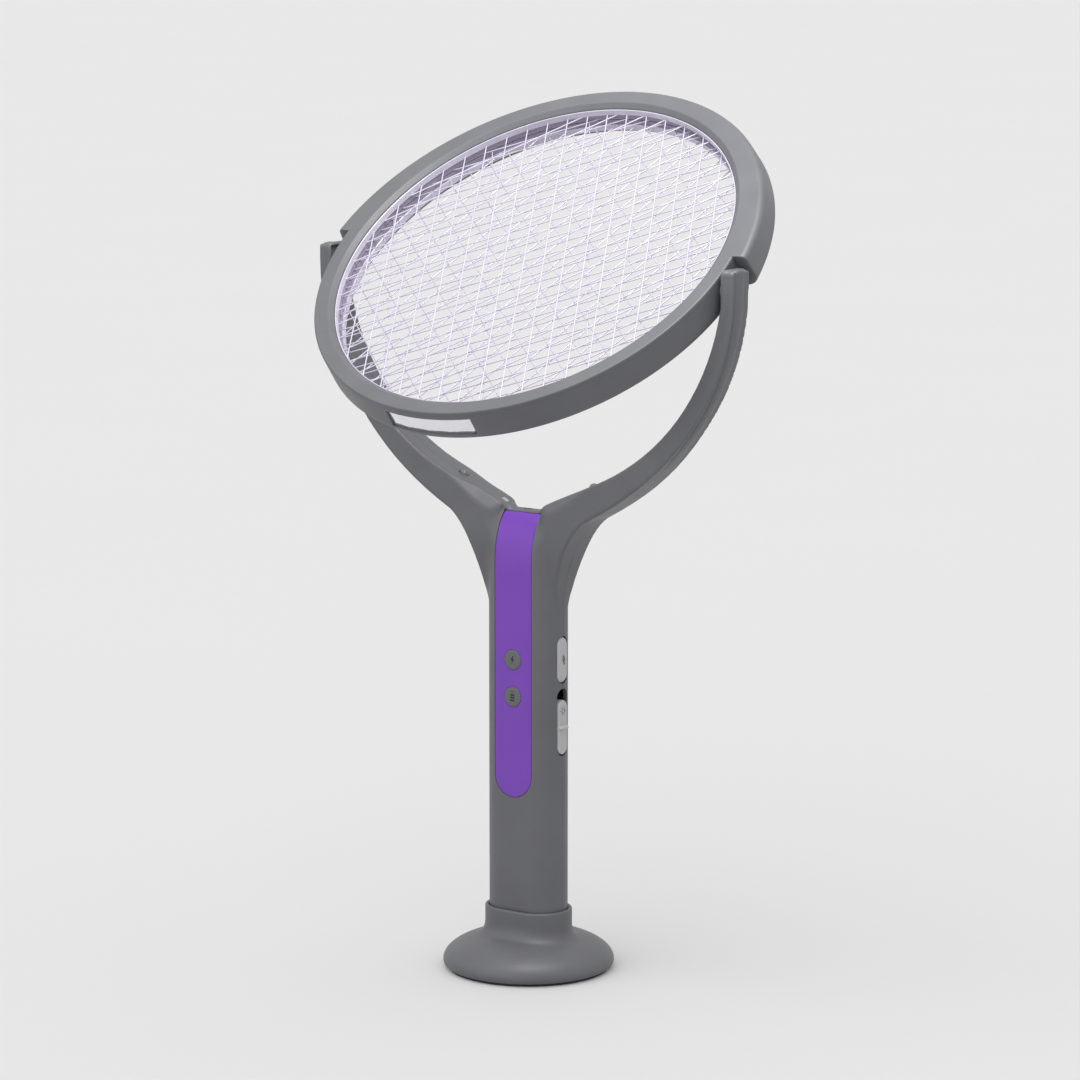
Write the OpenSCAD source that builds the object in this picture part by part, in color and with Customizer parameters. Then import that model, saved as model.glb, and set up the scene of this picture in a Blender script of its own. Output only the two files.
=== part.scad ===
// Rechargeable electric fly swatter: a round three-layer grid head that tilts in a forked handle,
// and the weighted round stand that the handle plugs into. Millimetres, +Z up, origin at the
// centre of the stand's underside, +X along the head's pivot axis, front of the handle facing -Y.

/* [Stand] */
// Radius of the round stand
stand_r = 42.3; // [40:0.1:46]
// Height of the dome's crown above the table
dome_top = 19; // [17:0.5:22]
// Height of the collar's rim
collar_top = 31; // [28:1:36]
// Thickness of the rubber pad under the stand
pad_t = 1.5; // [1.2:0.1:2.5]

/* [Handle] */
// Radius of the handle's rounded sides
grip_r = 13.6; // [13:0.1:14]
// Half of the flat width between the rounded sides
grip_flat = 7; // [6.5:0.1:7.5]
// Height of the handle's lower end, inside the stand's socket
grip_bottom = 8.6; // [8.4:0.1:10]
// Wall thickness of the moulded shells
wall = 2; // [1.8:0.1:2.2]
// Depth of the fork's arms, front to back
arm_depth = 16; // [15:0.5:17]
// Distance from the centre plane to an arm's inner face
arm_inner = 114.6; // [114.4:0.1:115]
// Distance from the centre plane to an arm's outer face
arm_outer = 122; // [121.5:0.1:123]

/* [Pivot] */
// Height of the head's pivot axis
pivot_z = 343; // [342:0.5:344]
// How far the head leans back from upright at rest, in degrees
head_lean = 51.8; // [45:0.1:60]
// Radius of the pivot stub
stub_r = 3.5; // [3:0.1:3.6]
// Running clearance of the stub in its bush, on the radius
stub_gap = 0.06; // [0.03:0.01:0.09]

/* [Head] */
// Distance from the pivot axis to the ring's centre
ring_rise = 10; // [9:0.5:11]
// Thickness of the ring, front to back
ring_t = 18.3; // [18:0.1:19]
// Outer radius of the ring between the arms
ring_low_r = 113.5; // [113:0.1:113.6]
// Outer radius of the wider upper part, about its own lower centre
ring_up_r = 121.8; // [121:0.1:122]
// Drop of the wider part's centre below the ring's centre
ring_up_drop = 4.8; // [4:0.1:6]
// Height of the step where the ring widens above the arm tips, from the ring's centre
ring_step = 3.5; // [3:0.1:5]
// Radius of the opening at the front face
opening_r = 106; // [105.5:0.1:106.5]

/* [Grids] */
// Distance between the wires of the guard grids
guard_pitch = 10.8; // [9:0.1:13]
// Distance between the wires of the high-voltage grid
live_pitch = 6.4; // [5:0.1:8]
// Width of one wire
wire_w = 1; // [0.9:0.1:1.4]

/* [Controls] */
// Width of the push button and the slide switch
key_w = 7.8; // [7:0.1:8]
// Travel of the push button
button_travel = 1.5; // [1:0.1:1.5]
// Travel of the slide switch
slider_travel = 5.5; // [4:0.1:5.5]

/* [Hidden] */
$fn = 72;

// Colours
body_grey = [0.38, 0.38, 0.40];
control_grey = [0.66, 0.66, 0.68];
accent_purple = [0.47, 0.29, 0.70];
wire_steel = [0.80, 0.80, 0.84];
board_green = [0.10, 0.30, 0.16];
brass_yellow = [0.76, 0.62, 0.30];
clear_white = [0.88, 0.90, 0.95];
black = [0.08, 0.08, 0.09];

// Gaps
slip = 0.05;
fit_gap = 0.4;
over = 1;

// Stand
dome_side = 4;
collar_r = 16;
collar_flat = 6.7;
cover_t = 2;
socket_floor = grip_bottom - fit_gap;
stand_screw_r = 30;
stand_boss_r = 3.2;
weight_in_r = 24.2;
weight_out_r = 36;
weight_t = 5;

// Fork outline: Bezier control points in the plane of the pivot axis, right-hand side
fork_curve = [[arm_outer, 345], [arm_outer, 295], [92, 254], [40, 227]];
waist_curve = [[40, 227], [31.5, 221], [21.2, 205], [19.4, 174]];
crotch_gap = 2.5;
crotch_r = ring_low_r + crotch_gap;
crotch_end = 64.5;
crotch_curve = [[9, 230], [18, 236.2], [35.5, 241.4], [49.9, 248.3]];
arm_top = 353;
arm_tip_round = 5;
arm_solid_from = 322;
curve_steps = 18;
shoulder_z = 200;
shoulder_rise = 29.5;
root_depth = 11;
waist_z = 174;
root_z = 215;
slim_z = 275;

// Accent panel and indicators
panel_w = 21.5;
panel_bottom = 88;
panel_top = 228;
panel_t = 1;
valley_w = 22.6;
indicator_r = 5;
upper_indicator_z = 156.4;
lower_indicator_z = 138;

// Controls on the right side
button_z = 156.5;
button_len = 23;
slot_bottom = 109;
slot_top = 142;
slider_len = 27.1;
key_face_x = 21.4;
key_gap = 0.35;
flange_x = 15.3;
flange_t = 1.8;

// Inner parts
board_y = -4.6;
board_t = 1.6;
board_w = 24;
board_bottom = 101;
board_top = 216;
cell_r = 9.2;
cell_len = 65;
cell_bottom = 29;
cell_y = 1.2;
usb_z = 107.5;
screw_r = 1.2;

// Shell screws: x, z, height of the head's seat, height of the tip
screw_places = [
    [8, 18, 9.5, -9], [-8, 18, 9.5, -9],
    [15.2, 100, 7.5, -6], [-15.2, 100, 7.5, -6],
    [15.2, 192, 7.5, -6], [-15.2, 192, 7.5, -6],
    [117.5, 329, 5, -5.5], [-117.5, 329, 5, -5.5]
];
boss_places = [for (s = screw_places) if (s[1] < 300) s];

// Ring section
ring_h = ring_t / 2;
rim_split = 7.1;
shoulder_round = 3.2;
shoulder_lean = 1.2;
rim_wall = 2;
lip_t = 4.2;
lip_r = 103.6;
stack_r = 106.8;
mesh_r = 103.2;
mesh_lip_r = 103.5;
mesh_lip_wall = 0.55;
mesh_lip_top = 6.6;
guard_t = 1;
live_angle = 28;
tie_pitch = 52;
tie_count = 2;
window_half = 12.5;
window_h = 4.8;
rim_screw_r = 109.2;
rim_screw_angles = [22, 62, 118, 158, 202, 240, 300, 338];
bush_r = 5.2;
bush_end = 119.4;

// ---------- helpers ----------

function bezier(p, t) =
    pow(1 - t, 3) * p[0] + 3 * t * pow(1 - t, 2) * p[1]
    + 3 * t * t * (1 - t) * p[2] + pow(t, 3) * p[3];
function bezier_slope(p, t) =
    pow(1 - t, 2) * (p[1] - p[0]) + 2 * t * (1 - t) * (p[2] - p[1]) + t * t * (p[3] - p[2]);

// Points along a curve, moved sideways by d: to the right of its direction when d > 0
function shifted(p, d) = [
    for (i = [0:curve_steps])
        let (t = i / curve_steps, v = bezier_slope(p, t))
        bezier(p, t) + d * [v[1], -v[0]] / norm(v)
];
function mirrored(points) = [for (i = [len(points) - 1:-1:0]) [-points[i][0], points[i][1]]];
function tail(points) = [for (i = [1:len(points) - 1]) points[i]];
function arc(x, y, r, from, to, steps = 8) = [
    for (i = [0:steps]) let (a = from + (to - from) * i / steps) [x + r * cos(a), y + r * sin(a)]
];

// A convex cell cut off at distance r along the unit direction d
function clipped(cell, d, r) = [
    for (i = [0:len(cell) - 1])
        let (a = cell[i], b = cell[(i + 1) % len(cell)], fa = r - a * d, fb = r - b * d)
        each concat(fa >= 0 ? [a] : [], fa * fb < 0 ? [a + (b - a) * fa / (fa - fb)] : [])
];

module stadium(r, flat) {
    for (side = [-1, 1])
        translate([side * flat, 0])
            circle(r);
    square([2 * flat, 2 * r], center = true);
}

// A stadium standing up, flat across X, for slots and keys in the right-hand wall
module key_shape(w, len, x, h) {
    translate([x, 0, 0])
        rotate([90, 0, 90])
            linear_extrude(h)
                for (side = [-1, 1]) {
                    translate([0, side * (len - w) / 2])
                        circle(w / 2);
                    square([w, len - w], center = true);
                }
}

// Extrudes a drawing of the XZ plane from y0 to y1
module along_y(y0, y1) {
    translate([0, y1, 0])
        rotate([90, 0, 0])
            linear_extrude(y1 - y0)
                children();
}

// Extrudes a drawing of the YZ plane from x0 to x1
module along_x(x0, x1) {
    translate([x0, 0, 0])
        rotate([90, 0, 90])
            linear_extrude(x1 - x0)
                children();
}

module rod_y(r, y0, y1, x, z) {
    translate([x, y1, z])
        rotate([90, 0, 0])
            cylinder(r = r, h = y1 - y0);
}

module rod_x(r, x0, x1, y, z) {
    translate([x0, y, z])
        rotate([0, 90, 0])
            cylinder(r = r, h = x1 - x0);
}

// Places children in the ring's own axes: x along the pivot, y up the ring, z out of its face
module ring_axes() {
    translate([0, 0, pivot_z])
        rotate([-head_lean, 0, 0])
            translate([0, 0, ring_rise])
                rotate([90, 0, 0])
                    children();
}

// ---------- stand ----------

module dome(inset) {
    r = stand_r - inset;
    h = dome_top - dome_side - inset;
    rotate_extrude()
        polygon(concat(
            [[0, 0], [r, 0]],
            [for (i = [0:16]) let (a = 90 * i / 16) [r * cos(a), dome_side + h * sin(a)]]
        ));
}

module base_shell() {
    color(body_grey)
        difference() {
            union() {
                difference() {
                    dome(0);
                    dome(wall + 0.2);
                }
                translate([0, 0, socket_floor - wall])
                    linear_extrude(collar_top - socket_floor + wall)
                        stadium(collar_r, collar_flat);
                for (a = [90:120:330])
                    rotate(a)
                        translate([stand_screw_r, 0, pad_t + cover_t])
                            cylinder(r = stand_boss_r, h = 9.5);
            }
            translate([0, 0, socket_floor])
                linear_extrude(collar_top)
                    stadium(grip_r + fit_gap, grip_flat);
            translate([0, 0, -over])
                cylinder(r = stand_r + over, h = pad_t + over);
            cylinder(r = stand_r - wall, h = pad_t + cover_t);
            for (a = [90:120:330])
                rotate(a)
                    translate([stand_screw_r, 0, 0])
                        cylinder(r = 1.4 + slip, h = 11);
        }
}

module base_cover() {
    color(body_grey)
        difference() {
            translate([0, 0, pad_t])
                cylinder(r = stand_r - wall - 0.2, h = cover_t);
            for (a = [90:120:330])
                rotate(a)
                    translate([stand_screw_r, 0, 0]) {
                        cylinder(r = 1.6, h = 10);
                        cylinder(r = 3.1, h = pad_t + 1.1);
                    }
        }
}

module base_weight() {
    color("silver")
        translate([0, 0, pad_t + cover_t])
            difference() {
                cylinder(r = weight_out_r, h = weight_t);
                translate([0, 0, -over])
                    cylinder(r = weight_in_r, h = weight_t + 2 * over);
                for (a = [90:120:330])
                    rotate(a)
                        translate([stand_screw_r, 0, -over])
                            cylinder(r = stand_boss_r + 0.3, h = weight_t + 2 * over);
            }
}

module base_pad() {
    color(black)
        cylinder(r = stand_r - wall - 0.6, h = pad_t);
}

module base_screws() {
    color("silver")
        for (a = [90:120:330])
            rotate(a)
                translate([stand_screw_r, 0, pad_t]) {
                    cylinder(r = 3, h = 1);
                    cylinder(r = 1.4, h = 9);
                }
}

// ---------- handle shells ----------

// Outline of waist and fork in the XZ plane, shrunk by inset
module fork_outline(inset) {
    arm = shifted(fork_curve, inset);
    waist = tail(shifted(waist_curve, inset));
    x = arm_inner + inset;
    r = crotch_r + inset;
    right = concat([[arm[0][0], arm_top - inset]], arm, waist);
    crotch = concat(
        [crotch_curve[0] + [inset / 2, -inset]],
        tail(shifted(crotch_curve, inset)),
        tail(arc(0, pivot_z + ring_rise, r, -crotch_end, -acos(x / r), 16)),
        [[x, arm_top - inset]]
    );
    polygon(concat(right, mirrored(right), mirrored(crotch), crotch));
}

// Side view of the fork: deeper at the root, rounded at the tips, shrunk by inset
module fork_side(inset) {
    half = arm_depth / 2 - inset;
    root = root_depth - inset;
    r = arm_tip_round;
    polygon(concat(
        [[-4, waist_z], [4, waist_z], [root, root_z], [half, slim_z]],
        arc(half - r, arm_top - inset - r, r, 0, 90),
        arc(-half + r, arm_top - inset - r, r, 90, 180),
        [[-half, slim_z], [-root, root_z]]
    ));
}

// Side view of the straight grip with its rounded shoulder, shrunk by inset
module grip_side(inset) {
    r = grip_r - inset;
    polygon(concat(
        [[-r, grip_bottom - over], [r, grip_bottom - over]],
        [for (i = [0:12]) let (a = 180 * i / 12) [r * cos(a), shoulder_z + (shoulder_rise - inset) * sin(a)]]
    ));
}

// Straight grip with its rounded shoulder, shrunk by inset
module grip_body(inset) {
    intersection() {
        translate([0, 0, grip_bottom])
            linear_extrude(shoulder_z + shoulder_rise)
                stadium(grip_r - inset, grip_flat);
        along_x(-arm_outer, arm_outer)
            grip_side(inset);
    }
}

// Fork up to the height fork_top, with the valley that the panel runs up, shrunk by inset
module fork_body(inset, fork_top) {
    difference() {
        intersection() {
            along_y(-grip_r, grip_r)
                fork_outline(inset);
            along_x(-arm_outer - over, arm_outer + over)
                fork_side(inset);
            translate([-2 * arm_outer, -grip_r, 0])
                cube([4 * arm_outer, 2 * grip_r, fork_top]);
        }
        difference() {
            translate([-valley_w / 2 - inset, -2 * grip_r, waist_z])
                cube([valley_w + 2 * inset, 2 * grip_r, 100]);
            along_x(-arm_outer, arm_outer)
                grip_side(inset);
        }
    }
}

module handle_body(inset, fork_top) {
    grip_body(inset);
    fork_body(inset, fork_top);
}

// Thin layer of the front surface where the accent panel lies
module panel_layer(gap) {
    difference() {
        intersection() {
            grip_body(0);
            along_y(-grip_r - over, 0) {
                translate([0, panel_bottom + panel_w / 2])
                    circle(panel_w / 2 + gap);
                translate([-panel_w / 2 - gap, panel_bottom + panel_w / 2])
                    square([panel_w + 2 * gap, panel_top - panel_bottom - panel_w / 2 + gap]);
            }
        }
        grip_body(panel_t + gap);
    }
}

module control_slots() {
    translate([0, 0, button_z])
        key_shape(key_w + 2 * key_gap, button_len + 2 * key_gap, 14, 12);
    translate([0, 0, (slot_bottom + slot_top) / 2])
        key_shape(key_w + 2 * key_gap, slot_top - slot_bottom + 2 * key_gap, 14, 12);
}

module hollow_handle() {
    difference() {
        handle_body(0, 400);
        handle_body(wall, arm_solid_from);
        translate([0, 0, grip_bottom - over])
            linear_extrude(wall + over)
                stadium(grip_r - wall, grip_flat);
        control_slots();
        for (side = [-1, 1]) {
            rod_x(bush_r + 0.02, side > 0 ? arm_inner - over : -bush_end - slip,
                  side > 0 ? bush_end + slip : -arm_inner + over, 0, pivot_z);
            translate([side * 38.7, 0, 236])
                cylinder(r = 2.5 + slip, h = 14);
            crotch_lamp(side, 0.1, 6);
        }
        translate([0, 0, 226])
            cube([5.1, 2.3, 12], center = true);
    }
}

module half_space(side) {
    translate([-150, side > 0 ? 0 : -40, 0])
        cube([300, 40, 400]);
}

module screw_bosses(side) {
    for (s = boss_places)
        intersection() {
            rod_y(2.7, side > 0 ? 0 : -grip_r, side > 0 ? grip_r : 0, s[0], s[1]);
            handle_body(wall / 2, 300);
        }
}

module screw_holes(r, seat) {
    for (s = screw_places) {
        rod_y(r + slip, s[3] - slip, 20, s[0], s[1]);
        if (seat)
            rod_y(2.35, s[2], 20, s[0], s[1]);
    }
}

module front_shell() {
    color(body_grey)
        difference() {
            union() {
                intersection() {
                    hollow_handle();
                    half_space(-1);
                }
                screw_bosses(-1);
            }
            panel_layer(slip);
            for (z = [upper_indicator_z, lower_indicator_z])
                rod_y(2.6, -20, 0, 0, z);
            screw_holes(screw_r, false);
        }
}

module rear_shell() {
    color(body_grey)
        difference() {
            union() {
                intersection() {
                    hollow_handle();
                    half_space(1);
                }
                screw_bosses(1);
            }
            screw_holes(screw_r + 0.15, true);
            along_y(6, 20)
                translate([0, usb_z])
                    for (side = [-1, 1]) {
                        translate([side * 2.95, 0])
                            circle(1.75);
                        square([5.9, 3.5], center = true);
                    }
        }
}

module end_cap() {
    color(body_grey)
        translate([0, 0, grip_bottom])
            linear_extrude(wall)
                stadium(grip_r - wall - slip, grip_flat);
}

module shell_screws() {
    color("silver")
        for (s = screw_places) {
            rod_y(screw_r, s[3], s[2] + slip, s[0], s[1]);
            rod_y(2.2, s[2], s[2] + 1.4, s[0], s[1]);
        }
}

// ---------- panel, indicators and electronics ----------

module accent_panel() {
    color(accent_purple)
        difference() {
            panel_layer(0);
            for (z = [upper_indicator_z, lower_indicator_z])
                rod_y(indicator_r + slip, -20, 0, 0, z);
        }
}

module indicator_lens(z) {
    color(body_grey)
        rod_y(indicator_r, -grip_r - 0.2, -grip_r + panel_t - slip, 0, z);
}

module upper_indicator_lens() {
    indicator_lens(upper_indicator_z);
}

module lower_indicator_lens() {
    indicator_lens(lower_indicator_z);
}

module light_pipes() {
    color(clear_white)
        for (z = [upper_indicator_z, lower_indicator_z])
            rod_y(2.5, -grip_r + panel_t, -6.2, 0, z);
}

module indicator_leds() {
    color(clear_white)
        for (z = [upper_indicator_z, lower_indicator_z])
            translate([-1.6, -6.1, z - 1.4])
                cube([3.2, 6.1 + board_y, 2.8]);
}

module main_board() {
    color(board_green)
        translate([-board_w / 2, board_y, board_bottom])
            cube([board_w, board_t, board_top - board_bottom]);
}

module boost_transformer() {
    color("goldenrod")
        translate([0, board_y + board_t, 180]) {
            translate([-7, 0, -8])
                cube([14, 3, 16]);
            translate([-5, 3, -5])
                cube([10, 5, 10]);
            translate([-7, 8, -8])
                cube([14, 2.5, 16]);
        }
}

module storage_capacitors() {
    color("firebrick")
        for (z = [140, 152])
            translate([-11, board_y + board_t, z])
                cube([14.5, 8, 9]);
}

module usb_socket() {
    color("silver")
        difference() {
            along_y(board_y + board_t, grip_r - 1.2)
                translate([0, usb_z])
                    for (side = [-1, 1]) {
                        translate([side * 2.9, 0])
                            circle(1.6);
                        square([5.8, 3.2], center = true);
                    }
            along_y(3, grip_r)
                translate([0, usb_z])
                    for (side = [-1, 1]) {
                        translate([side * 2.9, 0])
                            circle(1.3);
                        square([5.8, 2.6], center = true);
                    }
        }
}

module tact_switch() {
    color(black) {
        translate([4.5, board_y + board_t, button_z - 3])
            cube([5.5, 6, 6]);
        rod_x(1.6, 10, 11.4, board_y + board_t + 3, button_z);
    }
}

module mode_switch() {
    color("silver")
        difference() {
            translate([3.5, board_y + board_t, 115])
                cube([7.5, 6, 20]);
            translate([9, board_y + board_t + 2, 118.5])
                cube([3, 2.4, 15]);
        }
}

module battery_carrier() {
    color(black)
        difference() {
            translate([-10.8, cell_y - 8, cell_bottom - 5])
                cube([21.6, 16, cell_len + 10]);
            translate([-cell_r - 0.6, cell_y - 10, cell_bottom - 3.6])
                cube([2 * cell_r + 1.2, 16.6, cell_len + 7.2]);
            translate([-8, cell_y, cell_bottom + 6])
                cube([16, 20, cell_len - 12]);
        }
}

module battery_cell() {
    color("royalblue")
        translate([0, cell_y - 2.8, cell_bottom]) {
            cylinder(r = cell_r, h = cell_len);
            cylinder(r = 3, h = cell_len + 1.2);
        }
}

module battery_contacts() {
    color("silver") {
        translate([-4, cell_y - 6, cell_bottom - 3.5])
            cube([8, 8, 0.5]);
        translate([0, cell_y - 2.8, cell_bottom - 3.2])
            cylinder(r1 = 3.6, r2 = 2.2, h = 3.1);
        translate([-4, cell_y - 6, cell_bottom + cell_len + 1.3])
            cube([8, 8, 0.5]);
    }
}

module arm_lamps() {
    color(clear_white)
        for (side = [-1, 1])
            translate([side * 38.7, 0, 237]) {
                cylinder(r = 2.5, h = 5.6);
                translate([0, 0, 5.6])
                    intersection() {
                        sphere(2.5);
                        cylinder(r = 3, h = 3);
                    }
            }
}

// Block that lies flush in the slope beside the crotch, larger by gap, and taller by rise
module crotch_lamp(side, gap, rise) {
    translate([side * 14.4, 0, 231.2])
        rotate([0, -side * 27.8, 0])
            translate([0, 0, rise / 2])
                cube([3.6 + gap, 3 + gap, 3.2 + rise], center = true);
}

module crotch_lamps() {
    color(clear_white)
        for (side = [-1, 1])
            crotch_lamp(side, 0, 0);
}

module light_sensor() {
    color(black)
        translate([0, 0, 227])
            cube([5, 2.2, 4], center = true);
}

module arm_lead(side) {
    color(black)
        intersection() {
            along_y(-1.2, 1.2)
                polygon(concat(
                    [for (p = shifted(fork_curve, 2.7)) [side * p[0], p[1]]],
                    [for (i = [curve_steps:-1:0]) let (p = shifted(fork_curve, 3.7)[i]) [side * p[0], p[1]]]
                ));
            translate([-200, -20, 225])
                cube([400, 40, arm_solid_from - 225 - 2.5]);
        }
}

module left_arm_lead() {
    arm_lead(-1);
}

module right_arm_lead() {
    arm_lead(1);
}

// ---------- controls ----------

module trigger_button() {
    color(control_grey)
        translate([0, 0, button_z]) {
            intersection() {
                key_shape(key_w, button_len, flange_x, key_face_x - flange_x);
                rod_y(60, -10, 10, key_face_x - 60, 0);
            }
            key_shape(key_w + 1.4, button_len + 2, flange_x, flange_t);
            rod_x(1.6, 13.4, flange_x + slip, board_y + board_t + 3, 0);
        }
}

module mode_slider() {
    color(control_grey)
        translate([0, 0, slot_bottom + 0.4 + slider_len / 2]) {
            key_shape(key_w - 0.4, slider_len, flange_x, key_face_x - 0.6 - flange_x);
            translate([flange_x, -(key_w + 1.4) / 2, -8])
                cube([flange_t, key_w + 1.4, 16]);
            translate([key_face_x - 1.5, -key_w / 2 + 0.2, -1.2])
                cube([2.4, key_w - 0.4, 2.4]);
            translate([9.6, board_y + board_t + 2.4, -3.6])
                cube([flange_x - 9, 1.6, 4]);
        }
}

// ---------- pivot ----------

module pivot_bush(side) {
    color(brass_yellow)
        difference() {
            rod_x(bush_r, side > 0 ? arm_inner : -bush_end, side > 0 ? bush_end : -arm_inner, 0, pivot_z);
            rod_x(stub_r + stub_gap, side > 0 ? 110 : -125, side > 0 ? 125 : -110, 0, pivot_z);
        }
}

module left_pivot_bush() {
    pivot_bush(-1);
}

module right_pivot_bush() {
    pivot_bush(1);
}

module pivot_washers() {
    color("silver")
        for (side = [-1, 1])
            difference() {
                rod_x(6.5, side > 0 ? arm_inner - 0.75 : -arm_inner,
                      side > 0 ? arm_inner : -arm_inner + 0.75, 0, pivot_z);
                rod_x(stub_r + 0.3, side > 0 ? 110 : -125, side > 0 ? 125 : -110, 0, pivot_z);
            }
}

module pivot_stub(side) {
    color("silver")
        ring_axes()
            difference() {
                union() {
                    rod_x(stub_r, side > 0 ? 108 : -119.1, side > 0 ? 119.1 : -108, -ring_rise, 0);
                    rod_x(5, side > 0 ? 108 : -110, side > 0 ? 110 : -108, -ring_rise, 0);
                }
                rod_x(1.5, side > 0 ? 100 : -125, side > 0 ? 125 : -100, -ring_rise, 0);
            }
}

module left_pivot_stub() {
    pivot_stub(-1);
}

module right_pivot_stub() {
    pivot_stub(1);
}

// ---------- head ----------

// Filled round puck with rounded outer edges, centred on its own axis
module puck(r, h, front_round, back_round, lean = 0) {
    rotate_extrude($fn = 144)
        polygon(concat(
            [[0, -h]],
            arc(r - back_round, -h + back_round, back_round, -90, 0),
            arc(r - lean - front_round, h - front_round, front_round, 0, 90),
            [[0, h]]
        ));
}

// Outer form of the whole ring as a filled body, shrunk by inset
module ring_body(inset) {
    puck(ring_low_r - inset, ring_h - inset, 1.2, 4);
    intersection() {
        translate([0, -ring_up_drop, 0])
            puck(ring_up_r - inset, ring_h - inset, shoulder_round - inset, 6 - inset, shoulder_lean);
        translate([-200, ring_step + inset, -20])
            cube([400, 200, 40]);
    }
}

// Section of the opening's edge: a bevel at the front, a lip that holds the grids
module opening_edge(front) {
    s = front ? 1 : -1;
    face_r = front ? opening_r : opening_r - 0.8;
    bevel = front ? 2.2 : 1.8;
    rotate_extrude($fn = 144)
        polygon([
            [face_r, s * ring_h], [lip_r, s * (ring_h - bevel)], [lip_r, s * lip_t],
            [lip_r + 2, s * lip_t], [lip_r + 2, s * (ring_h - bevel)], [face_r + 2, s * (ring_h - 1)]
        ]);
}

module ring_shell() {
    difference() {
        ring_body(0);
        ring_body(rim_wall);
        translate([0, 0, -20])
            cylinder(r = opening_r - 0.8 + 0.5, h = 40, $fn = 144);
        rod_x(stub_r + 0.02, -125, 125, -ring_rise, 0);
        rotate(-90 - window_half)
            rotate_extrude(angle = 2 * window_half)
                translate([ring_low_r - 3, -window_h])
                    square([6, 2 * window_h]);
    }
    opening_edge(true);
    opening_edge(false);
}

module rim_bosses(z0, z1) {
    for (a = rim_screw_angles)
        rotate(a)
            translate([rim_screw_r, 0, z0])
                cylinder(r = 2.2, h = z1 - z0);
}

module front_rim() {
    color(body_grey)
        ring_axes()
            difference() {
                union() {
                    intersection() {
                        ring_shell();
                        translate([-200, -200, 0])
                            cube([400, 400, 20]);
                    }
                    rim_bosses(0, ring_h - rim_wall + slip);
                }
                difference() {
                    translate([-200, -200, -20])
                        cube([400, 400, 20 + rim_split]);
                    translate([0, 0, -30])
                        cylinder(r = ring_low_r - rim_wall - slip, h = 60, $fn = 144);
                }
                for (a = rim_screw_angles)
                    rotate(a)
                        translate([rim_screw_r, 0, -over])
                            cylinder(r = 0.85, h = 7.5);
            }
}

module rear_rim() {
    color(body_grey)
        ring_axes()
            difference() {
                union() {
                    intersection() {
                        ring_shell();
                        union() {
                            translate([-200, -200, -20])
                                cube([400, 400, 20]);
                            difference() {
                                translate([-200, -200, -over])
                                    cube([400, 400, rim_split + over]);
                                translate([0, 0, -30])
                                    cylinder(r = ring_low_r - rim_wall - slip, h = 60, $fn = 144);
                            }
                        }
                    }
                    rim_bosses(-ring_h + rim_wall - slip, 0);
                }
                for (a = rim_screw_angles)
                    rotate(a)
                        translate([rim_screw_r, 0, -20]) {
                            cylinder(r = 1, h = 30);
                            cylinder(r = 1.7, h = 20 - ring_h + 1.8);
                        }
            }
}

module rim_screws() {
    color("silver")
        ring_axes()
            for (a = rim_screw_angles)
                rotate(a)
                    translate([rim_screw_r, 0, -ring_h + 0.4]) {
                        cylinder(r = 1.6, h = 1.4);
                        cylinder(r = 0.8, h = 13);
                    }
}

// Round plate of the grids' outer size, with a hole for each cell
module pierced_disc(cells, t) {
    border = 144;
    starts = [for (i = 0, n = border; i < len(cells); n = n + len(cells[i]), i = i + 1) n];
    linear_extrude(t)
        polygon(
            points = concat(
                [for (i = [0:border - 1]) stack_r * [cos(360 * i / border), sin(360 * i / border)]],
                [for (cell = cells) each cell]
            ),
            paths = concat(
                [[for (i = [0:border - 1]) i]],
                [for (i = [0:len(cells) - 1]) [for (k = [0:len(cells[i]) - 1]) starts[i] + k]]
            )
        );
}

// Flat lattice of straight wires in two directions inside a round border
module lattice(pitch, angle_a, angle_b, t) {
    hole_r = mesh_r;
    dir_a = [cos(angle_a), sin(angle_a)];
    dir_b = [cos(angle_b), sin(angle_b)];
    skew = abs(sin(angle_b - angle_a));
    step_a = dir_a * pitch / skew;
    step_b = dir_b * pitch / skew;
    half_a = dir_a * (pitch - wire_w) / skew / 2;
    half_b = dir_b * (pitch - wire_w) / skew / 2;
    reach = ceil(hole_r / pitch) + 1;
    cells = [
        for (i = [-reach:reach], j = [-reach:reach])
            let (c = i * step_a + j * step_b, far = norm(c), d = far > 0 ? c / far : [1, 0],
                 cell = clipped([c - half_a - half_b, c + half_a - half_b,
                                 c + half_a + half_b, c - half_a + half_b], d, hole_r))
            if (len(cell) > 2 && far < hole_r - 1.5 && max([for (p = cell) norm(p)]) < hole_r + 1.6) cell
    ];
    pierced_disc(cells, t);
}

// Thin collar of a guard grid, from the grid's inner face outwards
module mesh_collar() {
    difference() {
        cylinder(r = mesh_lip_r, h = mesh_lip_top - lip_t + guard_t, $fn = 144);
        translate([0, 0, -over])
            cylinder(r = mesh_lip_r - mesh_lip_wall, h = 10, $fn = 144);
    }
}

module front_guard_grid() {
    color(wire_steel)
        ring_axes()
            translate([0, 0, lip_t - guard_t]) {
                lattice(guard_pitch, 112, 42, guard_t);
                mesh_collar();
            }
}

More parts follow.
